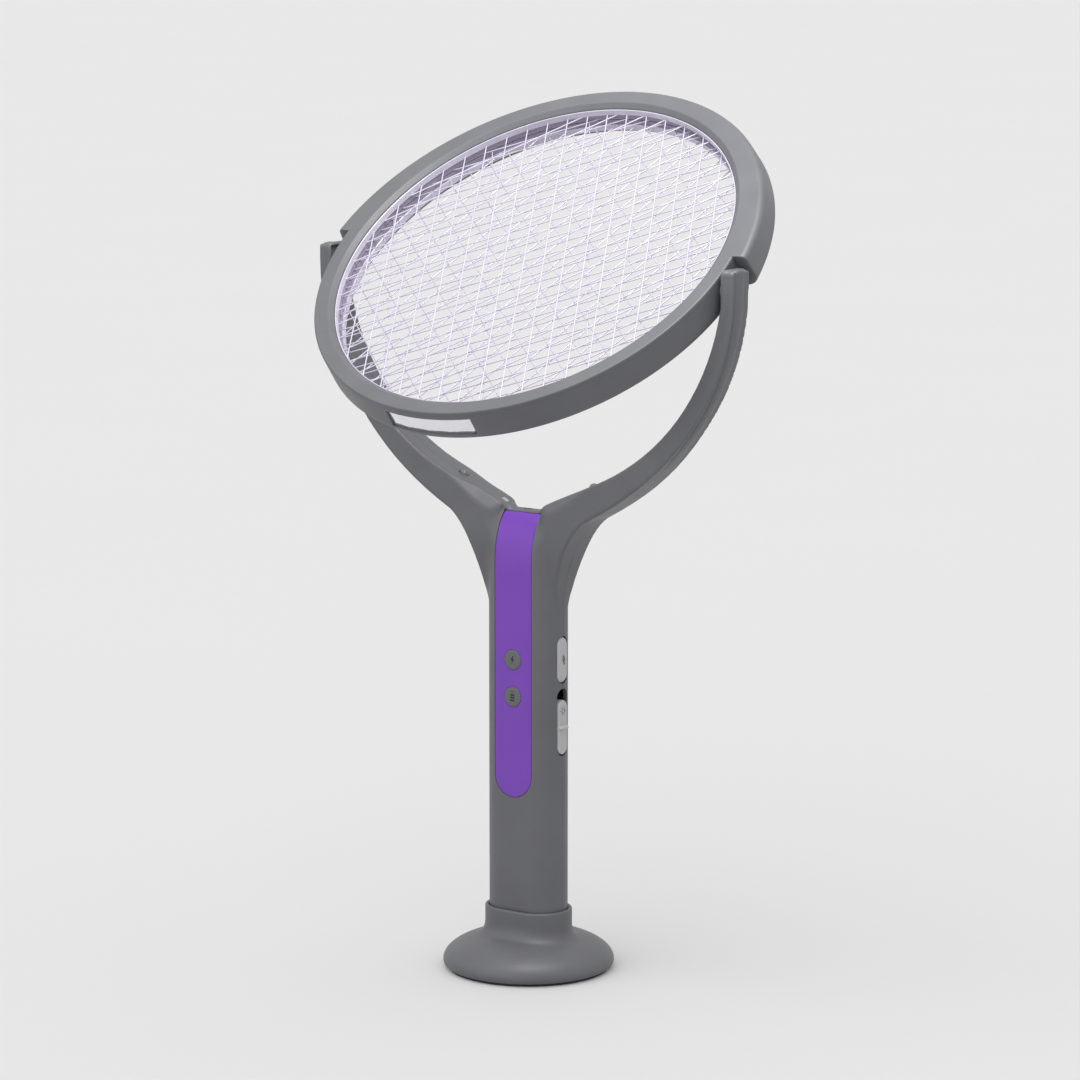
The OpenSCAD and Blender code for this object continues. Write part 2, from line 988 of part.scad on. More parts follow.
// High-voltage grid: parallel wires with a few cross ties, inside a round border
module live_grid() {
    hole_r = lip_r + 0.6;
    rows = floor(hole_r / live_pitch - 0.6);
    half = (live_pitch - wire_w) / 2;
    cells = [
        for (j = [-rows:rows], k = [-tie_count:tie_count])
            let (y0 = j * live_pitch - half, y1 = j * live_pitch + half,
                 e0 = sqrt(hole_r * hole_r - y0 * y0), e1 = sqrt(hole_r * hole_r - y1 * y1),
                 from = (k - 0.5) * tie_pitch + wire_w / 2, to = (k + 0.5) * tie_pitch - wire_w / 2)
            if (max(-e0, from) < min(e0, to) - 1 && max(-e1, from) < min(e1, to) - 1)
                [[max(-e0, from), y0], [min(e0, to), y0], [min(e1, to), y1], [max(-e1, from), y1]]
    ];
    color(wire_steel)
        ring_axes()
            translate([0, 0, -guard_t / 2])
                rotate(live_angle)
                    pierced_disc(cells, guard_t);
}

module rear_guard_grid() {
    color(wire_steel)
        ring_axes()
            translate([0, 0, -lip_t]) {
                lattice(guard_pitch, 68, 138, guard_t);
                translate([0, 0, guard_t])
                    mirror([0, 0, 1])
                        mesh_collar();
            }
}

// Ring that keeps two grids apart, from height z0 up to z1
module spacer_ring(z0, z1) {
    color(body_grey)
        ring_axes()
            translate([0, 0, z0])
                difference() {
                    cylinder(r = stack_r, h = z1 - z0, $fn = 144);
                    translate([0, 0, -over])
                        cylinder(r = lip_r, h = z1 - z0 + 2 * over, $fn = 144);
                }
}

module front_spacer_ring() {
    spacer_ring(guard_t / 2, lip_t - guard_t);
}

module rear_spacer_ring() {
    spacer_ring(guard_t - lip_t, -guard_t / 2);
}

module lamp_arc(r0, r1, half_angle, half_h) {
    rotate(-90 - half_angle)
        rotate_extrude(angle = 2 * half_angle)
            translate([r0, -half_h])
                square([r1 - r0, 2 * half_h]);
}

module lamp_window() {
    color(clear_white)
        ring_axes()
            lamp_arc(ring_low_r - rim_wall, ring_low_r, window_half - 0.05, window_h - slip);
}

module lamp_board() {
    color(board_green)
        ring_axes()
            lamp_arc(107.4, 108.4, window_half - 1, 4);
}

module lure_lamps() {
    color(clear_white)
        ring_axes()
            for (i = [-1.5:1:1.5])
                rotate(-90 + i * 5.6)
                    translate([109.3, 0, 0])
                        cube([1.6, 3.5, 3.5], center = true);
}

module grid_leads() {
    color(black)
        ring_axes()
            for (side = [-1, 1])
                rotate(side > 0 ? -4.9 - 8 : 184.9)
                    rotate_extrude(angle = 8)
                        translate([107.6, 0])
                            circle(0.5, $fn = 24);
}

base_shell();
base_cover();
base_weight();
base_pad();
base_screws();
front_shell();
rear_shell();
end_cap();
accent_panel();
upper_indicator_lens();
lower_indicator_lens();
light_pipes();
indicator_leds();
main_board();
boost_transformer();
storage_capacitors();
usb_socket();
tact_switch();
mode_switch();
battery_carrier();
battery_cell();
battery_contacts();
arm_lamps();
crotch_lamps();
light_sensor();
shell_screws();
left_arm_lead();
right_arm_lead();
left_pivot_bush();
right_pivot_bush();
pivot_washers();
trigger_button();
mode_slider();
front_rim();
rear_rim();
front_guard_grid();
live_grid();
rear_guard_grid();
front_spacer_ring();
rear_spacer_ring();
lamp_window();
lamp_board();
lure_lamps();
left_pivot_stub();
right_pivot_stub();
rim_screws();
grid_leads();
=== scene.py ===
import math

import bmesh
import bpy
import numpy as np
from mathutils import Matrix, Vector


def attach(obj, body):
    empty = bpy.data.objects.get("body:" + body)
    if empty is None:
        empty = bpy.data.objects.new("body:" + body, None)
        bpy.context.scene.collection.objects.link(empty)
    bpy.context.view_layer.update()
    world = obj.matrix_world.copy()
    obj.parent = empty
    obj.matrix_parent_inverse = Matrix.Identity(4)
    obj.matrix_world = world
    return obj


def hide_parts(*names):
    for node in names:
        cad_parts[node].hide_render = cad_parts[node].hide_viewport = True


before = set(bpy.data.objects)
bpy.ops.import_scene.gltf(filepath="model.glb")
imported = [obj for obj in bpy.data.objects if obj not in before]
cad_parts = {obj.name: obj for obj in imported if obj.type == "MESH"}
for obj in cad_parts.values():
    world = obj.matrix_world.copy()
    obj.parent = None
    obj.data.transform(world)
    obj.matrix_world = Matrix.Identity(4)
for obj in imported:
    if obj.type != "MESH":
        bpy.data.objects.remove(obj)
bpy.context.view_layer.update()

# Lengths below are in millimetres, in the frame of the CAD model; meshes are made in metres.
MM = 0.001

# Stand
STAND_R = 42.3
DOME_TOP = 19.0
DOME_SIDE = 4.0
DOME_WALL = 2.2
STAND_POST_R = 30.0
STAND_POST_ANGLES = (90, 210, 330)
COLLAR_TOP = 31.0
COLLAR_R = 16.0
COLLAR_FLAT = 6.7
SOCKET_R = 14.0
SOCKET_FLOOR = 8.2
PAD_T = 1.5
COVER_TOP = 3.5
# The dome's lower edge and the seat of its cover: radius, height
STAND_FOOT = [(42.25, 3.2), (42.0, 2.4), (41.6, 1.9), (41.2, PAD_T), (40.35, PAD_T), (40.3, COVER_TOP)]

# Grip and fork
GRIP_R = 13.6
GRIP_FLAT = 7.0
GRIP_BOTTOM = 8.6
GRIP_BLEND = 0.8
WALL = 2.0
SHOULDER_Z = 200.0
SHOULDER_RISE = 29.5
PIVOT_Z = 343.0
ARM_INNER = 114.6
ARM_OUTER = 122.0
ARM_TOP = 353.0
ARM_SOLID_FROM = 322.0
TIP_ROUND = 2.4
ARM_EDGE = 1.1
ROOT_Z = 216.0
WAIST_Z = 174.0
CROTCH_R = 116.0
CROTCH_SLOPE = 0.88
FORK_CURVE = [(122, 345), (122, 295), (92, 254), (40, 227)]
WAIST_CURVE = [(40, 227), (31.5, 221), (21.2, 205), (19.4, 174)]
CROTCH_CURVE = [(9, 230), (18, 236.2), (35.5, 241.4), (49.9, 248.3)]
PART_LINE = 0.06
BUSH_R = 5.24
BUSH_END = 119.45
# Screws that hold the two shells: x, z, the head's seat and the tip
SHELL_SCREWS = [(8, 18, 9.5, -9), (-8, 18, 9.5, -9), (15.2, 100, 7.5, -6), (-15.2, 100, 7.5, -6),
                (15.2, 192, 7.5, -6), (-15.2, 192, 7.5, -6), (117.5, 329, 5, -5.5),
                (-117.5, 329, 5, -5.5)]

# Accent panel, indicators and controls
PANEL_HALF = 10.75
PANEL_BOTTOM = 88.0
PANEL_TOP = 228.0
PANEL_T = 1.0
PANEL_GAP = 0.22
VALLEY_HALF = 11.3
VALLEY_STEP = 2.4
INDICATOR_R = 5.0
BOLT_Z = 156.4
BATTERY_Z = 138.0
BUTTON_Z = 156.5
BUTTON_LEN = 23.0
KEY_W = 7.8
KEY_GAP = 0.35
KEY_FACE_X = 21.4
FLANGE_X = 15.3
FLANGE_T = 1.8
SLOT_BOTTOM = 109.0
SLOT_TOP = 142.0
SLIDER_LEN = 27.1
SLIDER_Z = SLOT_BOTTOM + 0.4 + SLIDER_LEN / 2
SIGN_UP = 0.05

# Ring
LEAN = math.radians(51.8)
RING_RISE = 10.0
HALF_T = 9.15
LOW_R = 113.5
UP_R = 121.8
UP_DROP = 4.8
STEP_Y = 3.5
STEP_ANGLE = math.degrees(math.asin(STEP_Y / 117.5))
# The step at the arms: degrees past its start, and the share of the wide part reached there
STEP_MARKS = np.array([0.0, 0.05, 0.14, 0.28, 0.45, 0.65])
STEP_SHARES = (0, 0.76, 0.90, 0.97, 0.99, 1.0)
OPENING_R = 106.0
LIP_R = 103.6
LIP_T = 4.2
LIP_WALL = 2.0
RIM_WALL = 2.0
SPLIT_T = 7.1
SHOULDER_ROUND = 3.2
SHOULDER_LEAN = 1.2
LOW_ROUND = 0.9
BEVEL = 2.2
MESH_LIP_R = 103.5
MESH_LIP_TOP = 6.6
MESH_LIP_WALL = 0.55
WINDOW_HALF = 12.5
WINDOW_H = 4.8
STUB_R = 3.52
RIM_SCREW_R = 109.2
RIM_SCREW_ANGLES = (22, 62, 118, 158, 202, 240, 300, 338)
SEAM_GAP = 0.06
BORDER_R = 106.8
GUARD_PITCH = 10.8
LIVE_PITCH = 6.4
LIVE_ANGLE = 28.0
LIVE_TIE_PITCH = 52.0
WIRE_D = 0.62

# Looks
BODY = (0.101, 0.1025, 0.1125)
SKY = 0.755
SHARP = 32.0
RING_SHARP = 38.0


# ---------- small geometry helpers ----------

def step_between(a, b, value):
    """0 before a, 1 after b, smooth between."""
    t = np.clip((value - a) / (b - a), 0.0, 1.0)
    return t * t * (3 - 2 * t)


def soft_min(a, b, k):
    """The smaller of two fields, with their crossing rounded over about k."""
    h = np.clip(0.5 + 0.5 * (b - a) / k, 0.0, 1.0)
    return b + (a - b) * h - k * h * (1 - h)


def soft_max(a, b, k):
    return -soft_min(-a, -b, k)


def bezier(points, steps):
    """Points along a cubic curve with four control points."""
    p = np.array(points, float)
    t = np.linspace(0, 1, steps + 1)[:, None]
    return ((1 - t) ** 3 * p[0] + 3 * t * (1 - t) ** 2 * p[1]
            + 3 * t ** 2 * (1 - t) * p[2] + t ** 3 * p[3])


def circle_points(radius, count):
    angles = np.arange(count) * 2 * math.pi / count
    return np.stack([radius * np.cos(angles), radius * np.sin(angles)], axis=1)


def ring_place(points):
    """From ring coordinates (x along the pivot, y up the ring, z out of its face) to the CAD frame."""
    p = np.asarray(points, float)
    up = RING_RISE + p[:, 1]
    y = up * math.sin(LEAN) - p[:, 2] * math.cos(LEAN)
    z = PIVOT_Z + up * math.cos(LEAN) + p[:, 2] * math.sin(LEAN)
    return np.stack([p[:, 0], y, z], axis=1)


def join(shapes):
    """Several (points, faces) shapes as one."""
    points, faces, start = [], [], 0
    for p, f in shapes:
        points.append(np.asarray(p, float))
        faces.extend([[i + start for i in face] for face in f])
        start += len(p)
    return np.concatenate(points), faces


def loft(sections, closed=False):
    """Joins closed sections of equal length; the ends get caps unless the loft closes on itself."""
    rows, columns = len(sections), len(sections[0])
    faces = []
    for i in range(rows if closed else rows - 1):
        for j in range(columns):
            a, b = i * columns, ((i + 1) % rows) * columns
            k = (j + 1) % columns
            faces.append([a + j, b + j, b + k, a + k])
    if not closed:
        faces.append(list(range(columns)))
        faces.append([(rows - 1) * columns + j for j in reversed(range(columns))])
    return np.concatenate([np.asarray(s, float) for s in sections]), faces


def prism(outline, axis, low, high):
    """Extrudes a flat outline along X, Y or Z."""
    sections = []
    for level in (low, high):
        flat = np.insert(np.asarray(outline, float), axis, level, axis=1)
        sections.append(flat)
    return loft(sections)


def round_form(profile, axis, centre, count):
    """Turns (radius, level) points round a line along an axis. The ends of the profile get caps."""
    sections = []
    for radius, level in profile:
        ring = circle_points(radius, count) + np.array(centre, float)
        sections.append(np.insert(ring, axis, level, axis=1))
    return loft(sections)


def rod(radius, axis, low, high, centre, count=48):
    return round_form(((radius, low), (radius, high)), axis, centre, count)


def stadium_outline(width, length, steps=16):
    """Outline in (across, along) with round ends."""
    r, straight = width / 2, (length - width) / 2
    a = np.radians(np.linspace(0, 180, steps + 1))
    top = np.stack([r * np.cos(a), straight + r * np.sin(a)], axis=1)
    return np.concatenate([top, -top])


def tube(points, radius, sides=10):
    """Round wire along a line of points."""
    p = np.asarray(points, float)
    tangent = np.gradient(p, axis=0)
    tangent /= np.linalg.norm(tangent, axis=1)[:, None]
    side = np.cross(tangent, [0.13, 0.31, 0.94])
    side /= np.linalg.norm(side, axis=1)[:, None]
    other = np.cross(tangent, side)
    a = np.arange(sides) * 2 * math.pi / sides
    return loft([p[i] + radius * (np.cos(a)[:, None] * side[i] + np.sin(a)[:, None] * other[i])
                 for i in range(len(p))])


# ---------- Blender objects ----------

def add_object(name, data):
    obj = bpy.data.objects.new(name, data)
    bpy.context.scene.collection.objects.link(obj)
    return obj


def make(name, shape, material, sharp=SHARP):
    """A mesh object in metres from a shape in millimetres; edges over the sharp angle stay crisp."""
    points, faces = shape
    mesh = bpy.data.meshes.new(name)
    mesh.from_pydata((np.asarray(points) * MM).tolist(), [], [list(f) for f in faces])
    mesh.validate()
    obj = add_object(name, mesh)
    fix_normals(mesh)
    mesh.shade_smooth()
    mesh.set_sharp_from_angle(angle=math.radians(sharp))
    if material is not None:
        mesh.materials.append(material)
    return obj


def fix_normals(mesh):
    work = bmesh.new()
    work.from_mesh(mesh)
    bmesh.ops.recalc_face_normals(work, faces=work.faces)
    work.to_mesh(mesh)
    work.free()


def carve(obj, shape, operation="DIFFERENCE", sharp=SHARP):
    """Cuts a shape out of a piece, or adds or keeps it, exactly."""
    tool = make("carve_tool", shape, None)
    modifier = obj.modifiers.new("carve", "BOOLEAN")
    modifier.object = tool
    modifier.operation = operation
    modifier.solver = "EXACT"
    bpy.context.view_layer.update()
    graph = bpy.context.evaluated_depsgraph_get()
    mesh = bpy.data.meshes.new_from_object(obj.evaluated_get(graph))
    obj.modifiers.clear()
    old = obj.data
    obj.data = mesh
    bpy.data.meshes.remove(old)
    tool_mesh = tool.data
    bpy.data.objects.remove(tool)
    bpy.data.meshes.remove(tool_mesh)
    mesh.shade_smooth()
    mesh.set_sharp_from_angle(angle=math.radians(sharp))
    return obj


def fit(obj, body, slot_name, *nodes):
    """Puts a piece on its body, in place of CAD nodes if any are named; the finish slot name is not used.
    """
    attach(obj, body)
    if nodes:
        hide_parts(*nodes)
    return obj


# ---------- surfaces from a distance field ----------

CORNERS = [(x, y, z) for z in (0, 1) for y in (0, 1) for x in (0, 1)]


def surface_nets(field, low, high, pitch):
    """Closed quad mesh of the surface where the field is 0; the field is negative inside."""
    axes = [np.arange(a, b + pitch, pitch) for a, b in zip(low, high)]
    value = field(*np.meshgrid(*axes, indexing="ij"))
    inside = value < 0
    cells = tuple(n - 1 for n in value.shape)
    count = np.zeros(cells, int)
    for x, y, z in CORNERS:
        count += inside[x:x + cells[0], y:y + cells[1], z:z + cells[2]]
    where = np.nonzero((count > 0) & (count < 8))
    index = np.full(cells, -1)
    index[where] = np.arange(len(where[0]))
    base = np.stack(where, axis=1)
    total = np.zeros((len(base), 3))
    hits = np.zeros(len(base))
    for axis, step in enumerate(np.eye(3, dtype=int)):
        for corner in [c for c in CORNERS if c[axis] == 0]:
            v0 = value[tuple((base + corner).T)]
            v1 = value[tuple((base + corner + step).T)]
            crossed = (v0 < 0) != (v1 < 0)
            t = np.where(crossed, v0 / np.where(crossed, v0 - v1, 1.0), 0.0)[:, None]
            total += np.where(crossed[:, None], corner + t * step, 0.0)
            hits += crossed
    origin = np.array([a[0] for a in axes])
    points = origin + (base + total / hits[:, None]) * pitch
    return points, net_quads(inside, index)


def net_quads(inside, index):
    """One quad for each grid edge that crosses the surface."""
    quads = []
    for axis in range(3):
        u, v = (axis + 1) % 3, (axis + 2) % 3
        first = np.take(inside, range(inside.shape[axis] - 1), axis)
        second = np.take(inside, range(1, inside.shape[axis]), axis)
        spots = np.stack(np.nonzero(first != second), axis=1)
        leaving = first[tuple(spots.T)]
        around = []
        for du, dv in ((1, 1), (0, 1), (0, 0), (1, 0)):
            cell = spots.copy()
            cell[:, u] -= du
            cell[:, v] -= dv
            around.append(index[tuple(cell.T)])
        quad = np.stack(around, axis=1)
        quads.append(np.where(leaving[:, None], quad, quad[:, ::-1]))
    return np.concatenate(quads).tolist()


def settle(points, field, rounds=3, reach=0.04, limit=0.5):
    """Moves points onto the surface where the field is 0."""
    p = points.copy()
    for _ in range(rounds):
        value = field(*p.T)
        slope = np.stack([(field(*(p + reach * e).T) - value) / reach for e in np.eye(3)], axis=1)
        size = np.maximum((slope ** 2).sum(axis=1), 0.3)
        move = np.clip(value / size, -limit, limit)
        p -= move[:, None] * slope
    return p


def outline_distance(outline, x, z):
    """Signed distance to a closed polygon, negative inside."""
    best = np.full(np.shape(x), 1e12)
    inside = np.zeros(np.shape(x), bool)
    for a, b in zip(outline, np.roll(outline, -1, axis=0)):
        ex, ez = b - a
        wx, wz = x - a[0], z - a[1]
        t = np.clip((wx * ex + wz * ez) / (ex * ex + ez * ez), 0, 1)
        best = np.minimum(best, (wx - ex * t) ** 2 + (wz - ez * t) ** 2)
        above, below, left = z >= a[1], z < b[1], ex * wz > ez * wx
        inside ^= (above & below & left) | ~(above | below | left)
    return np.where(inside, -np.sqrt(best), np.sqrt(best))


# ---------- handle form ----------

def half_fork_outline():
    """Right half of the fork's front view; it runs past the middle, where |x| folds it."""
    arm = bezier(FORK_CURVE, 20)
    waist = bezier(WAIST_CURVE, 12)[1:]
    top = ARM_TOP + 20
    return np.concatenate([
        [(ARM_OUTER, top)], arm, waist, [(-60, WAIST_Z), (-60, 230)],
        FORK_INSIDE, [(ARM_INNER, top)]
    ])


def fork_inside():
    """Edge of the gap that the head swings in, from the crotch up."""
    last = -math.degrees(math.acos(ARM_INNER / CROTCH_R))
    a = np.radians(np.linspace(-64.5, last, 18))[1:]
    arc = np.stack([CROTCH_R * np.cos(a), PIVOT_Z + RING_RISE + CROTCH_R * np.sin(a)], axis=1)
    return np.concatenate([bezier(CROTCH_CURVE, 12), arc])


def gap_edge_height(reach):
    """Height of the gap's edge at a distance from the middle; out past the arms it is out of reach."""
    reaches = np.append(FORK_INSIDE[:, 0], ARM_INNER + 0.05)
    heights = np.append(FORK_INSIDE[:, 1], 2 * ARM_TOP)
    return np.interp(reach, reaches, heights)


FORK_INSIDE = fork_inside()
FORK_OUTLINE = half_fork_outline()


def grip_field(x, y, z):
    """The oval grip with its rounded top, and the field of that top's front and back alone."""
    flank = np.hypot(np.maximum(np.abs(x) - GRIP_FLAT, 0), y) - GRIP_R
    rise = np.maximum(z - SHOULDER_Z, 0)
    q = np.hypot(y / GRIP_R, rise / SHOULDER_RISE)
    slope = np.hypot(y / GRIP_R ** 2, rise / SHOULDER_RISE ** 2)
    side = q * (q - 1) / np.maximum(slope, 1e-3)
    return soft_max(flank, side, GRIP_BLEND), side


def fork_depth(z):
    """Half depth of the fork, front to back."""
    root = 4 + 7 * step_between(WAIST_Z - 8, ROOT_Z, z)
    return root - 3 * step_between(ROOT_Z, 282, z)


def chamfered(field, wall, face, leg, soft):
    """Cuts the edge between a wall and a face at 45 degrees, leg deep."""
    return soft_max(field, (wall + face + leg) / math.sqrt(2), soft)


def rounded_both(a, b, radius):
    """Where both fields are inside, with the edge between them rounded."""
    a, b = a + radius, b + radius
    return np.hypot(np.maximum(a, 0), np.maximum(b, 0)) + np.minimum(np.maximum(a, b), 0) - radius


def fork_field(x, y, z):
    """The fork's outline given a depth, with rounded edges and a chamfer along the crotch."""
    reach = np.abs(x)
    outline = outline_distance(FORK_OUTLINE, reach, z)
    face = np.abs(y) - fork_depth(z)
    body = rounded_both(outline, rounded_both(face, z - ARM_TOP, TIP_ROUND), ARM_EDGE)
    fall = (z - gap_edge_height(reach)) * CROTCH_SLOPE
    leg = 4.6 - 4.2 * step_between(22, 46, reach)
    body = chamfered(body, fall, face, leg, 0.7)
    return body + arm_grooves(x, y, z, outline)


def arm_grooves(x, y, z, outline):
    """Outside each arm a groove, a broad rib and a lower rear part; in front a shallow groove."""
    inner = np.hypot(x, z - PIVOT_Z - RING_RISE) - CROTCH_R
    outer_side = step_between(2.5, 4.5, inner)
    rise = step_between(244, 280, z)
    front_groove = 0.8 * np.exp(-((y + 5.3) / 0.65) ** 2)
    rib = np.minimum(0.045 * (y + 1.4) ** 2, 0.35)
    rear_step = 0.4 * step_between(1.8, 2.5, y)
    face_groove = 0.4 * np.exp(-((inner - 2.5) / 0.95) ** 2) * step_between(-5.5, -6.8, y)
    face_groove = face_groove * step_between(-1.0, 0.5, -outline)
    return rise * (outer_side * (front_groove + rib + rear_step) + face_groove)


def body_field(x, y, z):
    """Grip and fork blended into each other, with the valley that the panel runs up."""
    grip, side = grip_field(x, y, z)
    fork = fork_field(x, y, z)
    half = VALLEY_HALF - VALLEY_STEP * step_between(5.0, 3.2, np.abs(y))
    valley = np.minimum(half - np.abs(x), side + 3)
    fork = soft_max(fork, valley, GRIP_BLEND)
    fork = chamfered(fork, VALLEY_HALF - np.abs(x), np.abs(y) - fork_depth(z), 4.5, 2.5)
    waist_fade = 1.6 * step_between(192, WAIST_Z + 1, z)
    fork = np.maximum(fork + waist_fade, WAIST_Z - z)
    return soft_min(grip, fork, 2.4)


def shell_field(x, y, z):
    """Walls of the hollow handle, with posts for its screws."""
    body = body_field(x, y, z)
    cavity = np.maximum(body + WALL, z - ARM_SOLID_FROM)
    for screw_x, screw_z, _, _ in SHELL_SCREWS:
        if screw_z < ARM_SOLID_FROM:
            post = np.hypot(x - screw_x, z - screw_z) - 2.7
            cavity = np.maximum(cavity, -post)
    outside = np.maximum(body, GRIP_BOTTOM - 1.2 - z)
    return np.maximum(outside, -cavity)


def panel_front(x, z):
    """Depth of the handle's front surface under the panel."""
    flank = np.sqrt(GRIP_R ** 2 - np.maximum(np.abs(x) - GRIP_FLAT, 0) ** 2)
    rise = np.clip((z - SHOULDER_Z) / SHOULDER_RISE, 0, 0.999)
    side = GRIP_R * np.sqrt(1 - rise ** 2)
    return -soft_min(flank, side, GRIP_BLEND)


def panel_shape(gap, proud, depth, edge):
    """Strip that follows the handle's front: straight at the top, round at the bottom."""
    half = PANEL_HALF + gap
    bottom = PANEL_BOTTOM - gap
    turn = PANEL_BOTTOM + PANEL_HALF
    low = turn - half * np.cos(np.radians(np.linspace(2, 90, 26)))
    straight = np.linspace(turn + 3, SHOULDER_Z, 22)
    rise = np.sin(np.radians(np.linspace(3, 90, 30)))
    shoulder = SHOULDER_Z + (PANEL_TOP + gap - SHOULDER_Z) * rise
    levels = np.concatenate([low, straight, shoulder])
    levels = np.maximum(levels, bottom + 0.01)
    sections = []
    across = np.sin(np.radians(np.linspace(-90, 90, 29)))
    for z in levels:
        width = math.sqrt(max(half ** 2 - max(turn - z, 0) ** 2, 0.3))
        x = across * width
        y = panel_front(x, z)
        slope_z = (panel_front(x, z + 0.1) - panel_front(x, z - 0.1)) / 0.2
        slope_x = (panel_front(x + 0.05, z) - panel_front(x - 0.05, z)) / 0.1
        normal = np.stack([slope_x, -np.ones_like(x), slope_z], axis=1)
        normal /= np.linalg.norm(normal, axis=1)[:, None]
        surface = np.stack([x, y, np.full_like(x, z)], axis=1)
        fall = edge * np.maximum(0, 1 - (width - np.abs(x)) / (2 * edge + 1e-6)) ** 2
        front = surface + normal * (proud - fall)[:, None]
        back = surface - normal * depth
        sections.append(np.concatenate([front, back[::-1]]))
    return loft(sections)


def key_shape(width, length, x_base, face, edge, crown, arch_r, z_mid):
    """Push key that faces X: straight wall, rounded edge, and a crowned top arched along its length."""
    def section(across, along, level, arch):
        ring = stadium_outline(across, along)
        x = level - ring[:, 1] ** 2 / (2 * arch)
        return np.stack([x, ring[:, 0], ring[:, 1] + z_mid], axis=1)

    sections = [section(width, length, x_base, math.inf)]
    for a in np.radians(np.linspace(0, 90, 7)):
        inward, level = edge * (1 - math.cos(a)), face - edge + edge * math.sin(a) - crown
        sections.append(section(width - 2 * inward, length - 2 * inward, level, arch_r))
    for share in (0.8, 0.6, 0.4, 0.2, 0.06):
        w = (width - 2 * edge) * share
        sections.append(section(w, length - width + w, face - crown * share ** 2, arch_r))
    return loft(sections)


def on_side(outline, x0, x1, z_mid):
    """A flat sign on a surface that faces X: the outline is (to the front, up)."""
    flat = np.array(outline, float)
    flat = np.stack([-flat[:, 0], flat[:, 1] + z_mid], axis=1)
    return prism(flat, 0, x0, x1)


# Lightning bolt, one unit to each end
BOLT = [(0.1, 1.0), (-0.62, -0.12), (-0.08, -0.12), (-0.3, -1.0),
        (0.6, 0.22), (0.1, 0.22), (0.42, 1.0)]


# ---------- materials ----------

def nodes_of(name):
    """A new material with one principled shader, and the object's own coordinates."""
    material = bpy.data.materials.new(name)
    material.use_nodes = True
    tree = material.node_tree
    tree.nodes.clear()
    output = tree.nodes.new("ShaderNodeOutputMaterial")
    shader = tree.nodes.new("ShaderNodeBsdfPrincipled")
    tree.links.new(shader.outputs["BSDF"], output.inputs["Surface"])
    place = tree.nodes.new("ShaderNodeTexCoord").outputs["Object"]
    return material, tree, shader, place


def noise(tree, place, scale, detail=3.0, rough=0.55):
    node = tree.nodes.new("ShaderNodeTexNoise")
    node.inputs["Scale"].default_value = scale
    node.inputs["Detail"].default_value = detail
    node.inputs["Roughness"].default_value = rough
    tree.links.new(place, node.inputs["Vector"])
    return node.outputs["Fac"]


def ramp(tree, value, low, high, colour_a, colour_b):
    node = tree.nodes.new("ShaderNodeValToRGB")
    node.color_ramp.elements[0].position = low
    node.color_ramp.elements[1].position = high
    node.color_ramp.elements[0].color = (*colour_a, 1)
    node.color_ramp.elements[1].color = (*colour_b, 1)
    tree.links.new(value, node.inputs["Fac"])
    return node.outputs["Color"]


def spread(tree, value, low, high):
    """Maps 0..1 to low..high."""
    node = tree.nodes.new("ShaderNodeMapRange")
    node.inputs["To Min"].default_value = low
    node.inputs["To Max"].default_value = high
    tree.links.new(value, node.inputs["Value"])
    return node.outputs["Result"]


def bump(tree, value, strength, distance, normal=None):
    node = tree.nodes.new("ShaderNodeBump")
    node.inputs["Strength"].default_value = strength
    node.inputs["Distance"].default_value = distance
    tree.links.new(value, node.inputs["Height"])
    if normal is not None:
        tree.links.new(normal, node.inputs["Normal"])
    return node.outputs["Normal"]


def connect(tree, shader, colour, roughness, normal):
    for value, socket in ((colour, "Base Color"), (roughness, "Roughness"), (normal, "Normal")):
        tree.links.new(value, shader.inputs[socket])


def shade(colour, factor):
    return tuple(min(c * factor, 1.0) for c in colour)


def moulded(name, colour, rough=0.42, grain=2600.0, strength=0.25, vary=0.07, coat=0.0):
    """Moulded plastic: fine spark-eroded grain, faint flow marks, uneven gloss."""
    material, tree, shader, place = nodes_of(name)
    cloud = noise(tree, place, 34.0, 4.0)
    tint = ramp(tree, cloud, 0.3, 0.7, shade(colour, 1 - vary), shade(colour, 1 + vary))
    fine = noise(tree, place, grain, 2.0)
    gloss = spread(tree, noise(tree, place, 90.0, 3.0), rough - 0.06, rough + 0.08)
    wave = bump(tree, cloud, 0.05, 0.0006)
    connect(tree, shader, tint, gloss, bump(tree, fine, strength, 0.00004, wave))
    shader.inputs["Coat Weight"].default_value = coat
    shader.inputs["Coat Roughness"].default_value = 0.2
    return material


def metal(name, colour, rough=0.3, scale=900.0, strength=0.1, plated=1.0):
    """Drawn or plated metal with fine lines and a little tarnish."""
    material, tree, shader, place = nodes_of(name)
    stretch = tree.nodes.new("ShaderNodeMapping")
    stretch.inputs["Scale"].default_value = (1.0, 1.0, 0.12)
    tree.links.new(place, stretch.inputs["Vector"])
    lines = noise(tree, stretch.outputs["Vector"], scale, 3.0)
    blotch = noise(tree, place, 120.0, 3.0)
    tint = ramp(tree, blotch, 0.3, 0.75, shade(colour, 0.88), shade(colour, 1.05))
    gloss = spread(tree, lines, rough - 0.08, rough + 0.12)
    connect(tree, shader, tint, gloss, bump(tree, lines, strength, 0.00003))
    shader.inputs["Metallic"].default_value = plated
    return material


def clear(name, colour, rough=0.06, weight=1.0, silvered=0.0):
    """Clear, milky or silvered moulded plastic or epoxy with faint flow lines."""
    material, tree, shader, place = nodes_of(name)
    flow = noise(tree, place, 260.0, 2.0)
    tint = ramp(tree, flow, 0.2, 0.8, shade(colour, 0.97), colour)
    connect(tree, shader, tint, spread(tree, flow, rough, rough + 0.05), bump(tree, flow, 0.06, 0.00005))
    shader.inputs["Transmission Weight"].default_value = weight
    shader.inputs["Metallic"].default_value = silvered
    shader.inputs["IOR"].default_value = 1.49
    return material


